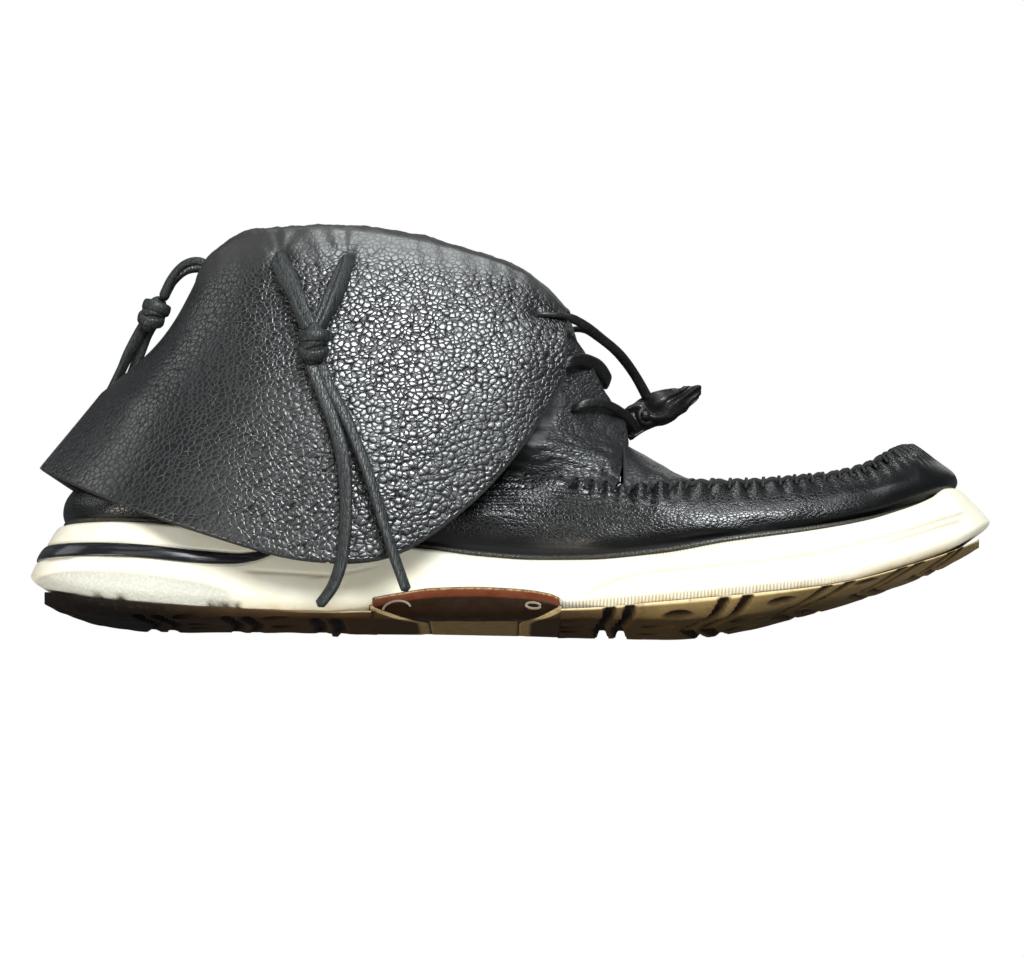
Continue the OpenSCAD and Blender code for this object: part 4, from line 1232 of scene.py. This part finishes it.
def stitches():
    """Hand stitches of waxed thread over the gathered seam and along the foot of the ankle."""
    def spot(*where):
        return wall(*map(np.array, where))

    loops = []
    rng = np.random.default_rng(5)
    for side in (-1, 1):
        for a in np.linspace(STITCH_FROM, STITCH_TO, STITCHES):
            lean, jog = 0.45 + 0.15 * rng.normal(), 0.25 * rng.normal()
            high, low = side * (a + jog + lean), side * (a + jog - lean)
            path = [spot(high, 0.90, 0.9), spot(high, 0.945, -0.35),
                    spot(side * (a + jog), 1.0, 1.0) + (0, 0, 1.1),
                    spot(low, 1.0, 3.8) + (0, 0, 0.9), spot(low, 1.0, 4.8) - (0, 0, 1.0)]
            loops.append(sweep(evenly(path, 18), 1.0, 0.85, (1, 0, 0), sides=8))
        for k in range(1, 10):
            a = STITCH_TO + ANKLE_STEP * k
            path = [spot(side * (a + 0.3), 0.95, 0.9), spot(side * (a + 0.2), 0.97, -0.3),
                    spot(side * a, 1.0, 0.6) + (0, 0, 1.2),
                    spot(side * (a - 0.2), 1.0, 2.0) + (0, 0, 1.6),
                    spot(side * (a - 0.3), 1.0, 4.2) + (0, 0, 1.6)]
            loops.append(sweep(evenly(path, 16), 0.8, 0.7, (1, 0, 0), sides=8))
    piece("seam_stitches", *joined(*loops), string_finish, "root", ["apron_stitches"],
          "waxed_thread")


# ---- ankle ----

FOOT_BEHIND = 3.2        # depth of the ankle leather's foot behind the face of the wall


def tuck_in(s, v):
    """Shift that takes the foot of the ankle leather in behind the wall."""
    foot = quarter(s, np.ones_like(v), 0 * v)
    turn = np.degrees(np.arccos(np.clip(foot[..., 0] / HALF, -0.84, 1)))
    behind = wall(-turn, np.ones_like(v), np.full_like(v, FOOT_BEHIND))[..., 1]
    inward = np.maximum(behind - foot[..., 1], 0) * fade(v, 0.80, 1.0) * fade(s, 6.9, 6.2)
    return np.stack([0 * v, inward, 0 * v], -1)


def quarters():
    """Ankle leather, creased across where the foot bends, its foot tucked behind the wall."""
    s, v = mesh_of(np.linspace(0, HEEL_S, 190), np.linspace(0, 1, 96))
    flat = quarter(s, v, 0 * v)
    x, z = flat[..., 0], flat[..., 2]
    bend = fade(s, 3.4, 1.6)
    crease = 0.16 * bend * fade(v, 0.5, 0.8) * np.sin(
        2 * math.pi * (z + 0.12 * x + 1.2 * ripple(flat, 15, 18)) / 3.6)
    soft = 0.22 * bend * ripple(flat, 13, 19, (1.6, 1, 0.7)) + 0.12 * ripple(flat, 5, 20)
    fine = 0.11 * bend * np.sin(2 * math.pi * (z + 0.25 * x + 0.5 * ripple(flat, 6, 28)) / 1.6)
    slit = 1.2 * hump(x, 28.6, 0.7) * hump(z, 46, 2)
    slit = slit + 0.9 * fade(s, 0.3, 0.0) * fade(v, 0.7, 0.85)
    tuck = tuck_in(s, v)
    out = crease + soft + fine - slit
    outer = quarter(s, v, -out) + tuck
    thick = LEATHER_T * (1 - 0.55 * fade(s, 0.25, 0.0))
    inner = quarter(s, v, thick - 0.5 * (crease + soft + fine)) + tuck
    # Painted shadow: the ankle leather goes dark in a strip beside the cape's front edge.
    edge = cape(np.linspace(0, 2.6, 60), np.ones(60), np.zeros(60))
    gap = np.min(np.hypot(x[..., None] - edge[:, 0], z[..., None] - edge[:, 2] + 0.8), -1)
    shade = fade(gap, 4.2, 1.6) * fade(x, 17, 12)
    points, faces, mask = slab(outer, inner)
    for name, mirror in SIDES:
        piece(f"ankle_{name}", points * (1, mirror, 1), faces, ankle_leather, "root",
              [f"quarter_{name}"], "upper_leather", inner=mask, shade=on_points(points, shade))


def lining():
    """Padded lining all round the inside of the ankle."""
    half = np.linspace(1.2, HEEL_S, 80)
    v_rows = np.linspace(0.02, 0.9, 46)
    s, v = mesh_of(half, v_rows)
    d = LEATHER_T + LINING_GAP
    tuck = tuck_in(s, v)
    near = quarter(s, v, np.full_like(v, d)) + tuck
    puff = 0.8 * np.sin(math.pi * (v - 0.02) / 0.88) ** 0.5 * (0.7 + 0.3 * ripple(near, 22, 30))
    far = quarter(s, v, d + LINING_T - 0.8 + puff + 0.15 * ripple(near, 8, 31)) + tuck
    near = np.concatenate([near, flipped(near)[-2::-1]])
    far = np.concatenate([far, flipped(far)[-2::-1]])
    points, faces, _ = slab(far, near)
    made = piece("collar_padding", points, faces, inside_finish, "root", ["collar_lining"],
                 "collar_lining")


def tongue():
    """Tongue behind the laces, curled at its sides."""
    k, q = mesh_of(np.linspace(0, 4, 70), np.linspace(-1, 1, 48))
    centre = route([(p[0], 0, p[1]) for p in TONGUE_MID], k)
    w = curve(TONGUE_HALF_W, k)

    def at(d):
        return centre + np.stack([-5 * q**2 - d * 0.8, w * q, -3 * q**2 - d * 0.6], -1)

    face = at(0 * q)
    line = 0.15 * np.sin(2 * math.pi * (face[..., 2] + ripple(face, 8, 34)) / 4)
    out = 0.35 * ripple(face, 9, 33) + line
    points, faces, mask = slab(at(-out), at(1.8 - 0.5 * out))
    piece("tongue_leather", points, faces, ankle_leather, "tongue", ["tongue"], "upper_leather",
          inner=mask, shade=0 * mask)


# ---- cape ----
ROLL_V = 0.05            # share of the drop where the roll meets the hanging cape
SPLIT_S = 3.75           # where the front and the rear sheet of one side meet


def cape_relief(p, s, v):
    """How far the cape's skin stands off its smooth shape."""
    hang = fade(v, 0.1, 0.6)
    wave = 0.7 * hang * ripple(p, 46, 40, (1, 1, 1.8)) + 0.07 * ripple(p, 13, 41)
    pull = np.zeros_like(v)
    for hole in TIE_HOLES:
        x, z = p[..., 0] - hole[0], p[..., 2] - hole[2] - 1.5
        r = np.hypot(x, z)
        turn = np.arctan2(z, x)
        pull += 0.16 * np.cos(9 * turn) * np.exp(-((r - 6) / 6) ** 2) * fade(r, 1.5, 4)
        pull -= 1.1 * np.exp(-(r / 2.4) ** 2)
    lace = np.hypot(p[..., 0] - 6.8, p[..., 2] - 94.4)
    pull -= 1.2 * np.exp(-(lace / 2.0) ** 2)
    neck = 0.12 * np.cos(2 * math.pi * p[..., 0] / 7.5 + 2 * ripple(p, 20, 42)) * fade(v, 0.3, 0.05)
    ends_s = fade(s, 6.9, 6.0)
    return (wave + neck) * np.maximum(ends_s, 0.25) + pull


def cape_sheet(s_rows, v_rows):
    """Outer and inner grid of one sheet of the cape."""
    s, v = mesh_of(s_rows, v_rows)
    base = cape(s, v, 0 * v)
    relief = cape_relief(base, s, v)
    outer = cape(s, v, LEATHER_T + relief)
    inner = cape(s, v, 0.7 * relief)
    return outer, inner, s, v


def cape_half(name, mirror):
    """Both sheets of one side; the front one runs from the throat, the rear one round the heel."""
    v_rows = np.linspace(ROLL_V, 1, 92)
    for part, s_from, s_to, count in (("front", 0, SPLIT_S, 118), ("rear", SPLIT_S, HEEL_S, 96)):
        outer, inner, s, v = cape_sheet(np.linspace(s_from, s_to, count), v_rows)
        front = part == "front"
        points, faces, mask = slab(outer, inner, flush=-1 if front else 0)
        smooth = 0.75 * fade(v, 0.20, 0.06)
        made = piece(f"cape_{name}_{part}", points * (1, mirror, 1), faces, cape_leather, None,
                     [f"flap_{name}"] + ([] if front else ["flap_back"]), "cape_leather",
                     inner=mask, smooth=on_points(points, np.stack([smooth, smooth])))
        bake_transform(made)


ROLL_LIFT = [(0, 0.2), (2, 0.0), (3, -0.6), (4, -1.4), (4.6, -0.4), (5.4, 1.6), (6, 1.4), (7, 1.2)]


def fold_roll():
    """Rolled fold of the collar, from the lining over the top to the hanging cape."""
    s = np.linspace(0, HEEL_S, 190)
    depth = LEATHER_T + LINING_GAP + LINING_T

    def inside(v, d):
        return quarter(s, np.full_like(s, v), np.full_like(s, d))

    def outside(v, lift):
        v = np.full_like(s, v)
        return cape(s, v, LEATHER_T + lift + cape_relief(cape(s, v, 0 * s), s, v))

    start, end = inside(0.055, depth), outside(ROLL_V, 0.04)
    rows = [inside(0.11, depth - 0.4)]
    top = route(FOLD_ROUTE, s)[..., 2] + curve(ROLL_LIFT, s)
    for t in np.linspace(0, 1, 26):
        p = lerp(start, end, (1 - math.cos(t * math.pi)) / 2)
        chord = lerp(start[:, 2], end[:, 2], t)
        p[:, 2] = chord + (top - chord) * math.sin(t * math.pi) ** 0.75
        rows.append(p)
    rows += [outside(ROLL_V + further, lift)
             for further, lift in ((0.01, 0.04), (0.02, 0.04), (0.03, 0.03), (0.03, -0.6))]
    outer = np.stack(rows, 1)
    middle = outer.mean(1, keepdims=True)
    inner = outer[:, ::-3] + unit(middle - outer[:, ::-3]) * 1.4
    rings = np.concatenate([outer, inner], 1)
    relief = 0.16 * ripple(rings, 9, 50, (0.6, 0.6, 2))
    relief = relief + 0.10 * ripple(rings, 4, 51, (0.5, 0.5, 2.4))
    centre = rings.mean(1, keepdims=True)
    calm = fade(np.arange(rings.shape[1]), 26, 16)
    rings = rings + unit(rings - centre) * (relief * calm)[..., None]
    rings = np.concatenate([rings, flipped(rings)[-2::-1]])
    n, m = rings.shape[:2]
    index = np.arange(n * m).reshape(n, m)
    faces = grid_faces(np.hstack([index, index[:, :1]]))
    faces += [index[0][::-1].tolist(), index[-1].tolist()]
    smooth = np.ones((n, m))
    smooth[:, 12:30] = np.linspace(1, 0.75, 18)
    smooth[:, 30:] = 0.75
    piece("fold_roll", rings.reshape(-1, 3), faces, cape_leather, "root", ["collar_fold"],
          "cape_leather", smooth=smooth.ravel(), inner=np.zeros(n * m))


# ---- laces and knots ----
def wrap(centre, axis, radius, lift, tilt, spin, width, thick, turns=1.0):
    """One turn of thong round a knot: its ring may lean and climb."""
    axis = unit(axis)
    helper = unit(np.cross(axis, (0.3, 0.9, 0.1)))
    other = np.cross(axis, helper)
    sideways = helper * math.cos(spin) + other * math.sin(spin)
    lean = unit(axis + math.tan(math.radians(tilt)) * sideways)
    e = unit(np.cross(lean, (0.2, 0.5, 0.7)))
    f = np.cross(lean, e)
    turn = np.linspace(0, 2 * math.pi * turns, 48, endpoint=False)[:, None]
    path = np.asarray(centre) + axis * lift + radius * (e * np.cos(turn) + f * np.sin(turn))
    return sweep(path, width, thick, lean, sides=12, closed=True, square=0.75)


def knot(name, centre, axis, radius, length, body, node, spin, finish=None):
    """A tight overhand knot: a core of thongs with two turns round it."""
    axis = unit(axis)
    path = np.asarray(centre) + axis * np.linspace(-0.56, 0.56, 24)[:, None] * length
    body_w = 1.25 * radius * (0.72 + 0.28 * np.cos(np.linspace(-1, 1, 24) * math.pi / 2))
    core = sweep(path, body_w * 1.05, body_w, (1, 0.2, 0.1), sides=16, square=0.85)
    turns = [wrap(centre, axis, radius * 0.74, 0.20 * length, 7, spin, 3.7, 2.1),
             wrap(centre, axis, radius * 0.70, -0.16 * length, 30, spin + 1.2, 3.5, 2.0),
             wrap(centre, axis, radius * 0.62, 0.0, -24, spin + 2.6, 3.2, 1.9)]
    piece(name, *joined(core, *turns), finish or thong_leather, body, [node], "lace_leather")


def side_tie(name, mirror):
    """A wide and a narrow thong from each hole in the cape down to the knot."""
    knot_x, knot_y, knot_z = KNOT_AT
    strands = []
    for hole in TIE_HOLES:
        lean = -1 if hole[0] < knot_x else 1
        h = np.array(hole)
        for off, drop, width, thick in ((0.7, 0.0, 4.1, 2.1), (-1.6, -1.0, 2.7, 1.8)):
            path = [h + (off * 0.6, 1.0, 1.2 + drop), h + (off * 0.6, -4.4, 2.4 + drop),
                    h + (off - lean * 0.6, -7.8, -0.6 + drop),
                    (knot_x + lean * 6.2 + off, -51.4, 98),
                    (knot_x + lean * 3.0 + off * 0.9, -54, 90),
                    (knot_x + lean * 1.0 + off * 0.6, knot_y, knot_z + 4)]
            path = evenly(path, 60)
            width = width * (1 + 0.08 * ripple(path, 7, 60))
            strands.append(sweep(path, width, thick, twisted(60, 0.10 * lean, 0.2 + off * 0.2)))
    points, faces = joined(*strands)
    piece(f"{name}_strands", points * (1, mirror, 1), faces, thong_leather, f"{name}_flap",
          [f"{name}_tie_strands"], "lace_leather")
    knot(f"{name}_knot_turns", np.array(KNOT_AT) * (1, mirror, 1), (0.08, -0.05 * mirror, 1),
         5.3, 12, f"{name}_knot", f"{name}_tie_knot", 0.6 * mirror)


def back_tie():
    """Two thongs that arch out of the heel of the collar to a knot."""
    strands = []
    for side in (-1, 1):
        path = evenly([(-92, 8.5 * side, 109), (-97.5, 8 * side, 113.8), (-103, 6 * side, 113.6),
                       (-107.4, 3.6 * side, 109.6), (-110.6, 1.6 * side, 103)], 40)
        strands.append(sweep(path, 3.6, 2.6, twisted(40, 0.1, 1.4), sides=12))
    piece("back_strands", *joined(*strands), thong_leather, "root", ["back_tie_strands"],
          "lace_leather")
    knot("back_knot_turns", BACK_KNOT, (0.45, 0, 1), 4.8, 11, "back_knot", "back_tie_knot", 0.3)


def lace(name, node, half, width, thick, flat, count=90):
    """A band across the throat, from its outer half."""
    path = evenly(half + [(x, -y, z) for x, y, z in half[-2::-1]], count)
    swell = 0.8 + 0.26 * np.sin(np.pi * np.linspace(0, 1, count))
    width = width * swell * (1 + 0.05 * ripple(path, 6, 70))
    piece(name, *sweep(path, width, thick, flat), bow_leather, "root", [node], "lace_leather")


def front_laces():
    lower = [(16.5, -18, 66), (19.5, -24, 67), (24, -23.6, 68.6), (29.5, -19.6, 68.6),
             (34.4, -13.4, 66.8), (37.8, -6.5, 64.6), (38.6, 0, 64)]
    middle = [(13, -20, 79.6), (16, -26.8, 80.2), (21, -23.6, 82), (26.5, -14, 81.2), (30, 0, 78.4)]
    lace("lower_lace_band", "lower_lace", lower, 3.0, 1.35, (0.25, 0, 1))
    lace("middle_lace_band", "middle_lace", middle, 4.4, 1.6, (0.35, 0, 1))
    strands = []
    for side in (-1, 1):
        lift = 0 if side < 0 else 1
        path = evenly([(4.5, 27.5 * side, 94), (6.8, 33.8 * side, 94.4), (11.4, 34 * side, 94.4),
                       (16.9, 31 * side, 94.2 + 4.5 * lift), (22.4, 26 * side, 92.2 + 6.5 * lift),
                       (27.1, 21 * side, 89.4 + 6 * lift), (33.5, 15 * side, 84.9 + 4.4 * lift),
                       (38.7, 8 * side, 79 + 2.4 * lift), (43.2, 3 * side, 72)], 80)
        strands.append(sweep(path, 2.9, 1.8, twisted(80, 0.22 * side, 1.2), sides=12))
    piece("top_lace_strands", *joined(*strands), bow_leather, "root", ["top_lace"], "lace_leather")
    knot("front_knot_turns", (41.5, 0, 67.5), (0, 1, 0), 3.3, 9, "root", "lace_knot", 0.8,
         bow_leather)


def bow():
    """Two creased loops of the bow, pressed flat, with square cut ends."""
    leaves = []
    for side in (-1, 1):
        t, h = mesh_of(np.linspace(0, 1, 64), np.linspace(-1, 1, 30))
        mid = route([(35.8, side * 1.0, 64.4), (41.5, side * 2.4, 68.2), (47.5, side * 4.4, 70.6),
                     (53.5, side * 5.8, 73), (58.2, side * 6.2, 75.4)], t * 4)
        half_w = curve([(0, 4.2), (0.25, 4.4), (0.45, 4.7), (0.7, 3.4), (0.9, 1.9), (1, 1.4)], t)
        up = np.array((-0.36, 0.25 * side, 0.9))
        base = mid + up * (half_w * h)[..., None]
        crease = 0.5 * np.sin(2 * math.pi * (h * 0.8 + 0.8 * t + 0.5 * ripple(base, 9, 80 + side)))
        crease = crease + 0.45 * ripple(base, 5, 83 + side, (2, 1, 1)) - 1.0 * h**2
        thick = 1.0 + 0.5 * (1 - h**2)
        outward = np.array((0.2, side, 0.15))
        outer = base + outward * (crease + thick)[..., None]
        inner = base + outward * (crease - 0.6 * thick)[..., None]
        leaves.append(slab(outer, inner, bulge=0.4)[:2])
    piece("bow_leaves", *joined(*leaves), bow_leather, "bow", ["bow_loops"], "lace_leather")


# ---- make everything ----
midsole()
heel_stripe()
tread("forefoot_tread", "outsole_forefoot", 15.3, HALF - 3.5, LUG_EDGES, FOREFOOT_PITS, 280)
tread("heel_tread", "outsole_heel", -42.3, -HALF + 4.5, HEEL_EDGES, HEEL_PITS, 170,
      start=(5, 12))
shank()
footbed()
welt()
wall_piece()
apron_piece()
stitches()
quarters()
lining()
tongue()
for side_name, side_sign in SIDES:
    cape_half(side_name, side_sign)
fold_roll()
for side_name, side_sign in SIDES:
    side_tie(side_name, side_sign)
back_tie()
front_laces()
bow()
for hidden in ("insole_board", "heel_counter"):
    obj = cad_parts[hidden]
    for slot in obj.material_slots:
        slot.material = fibre_finish
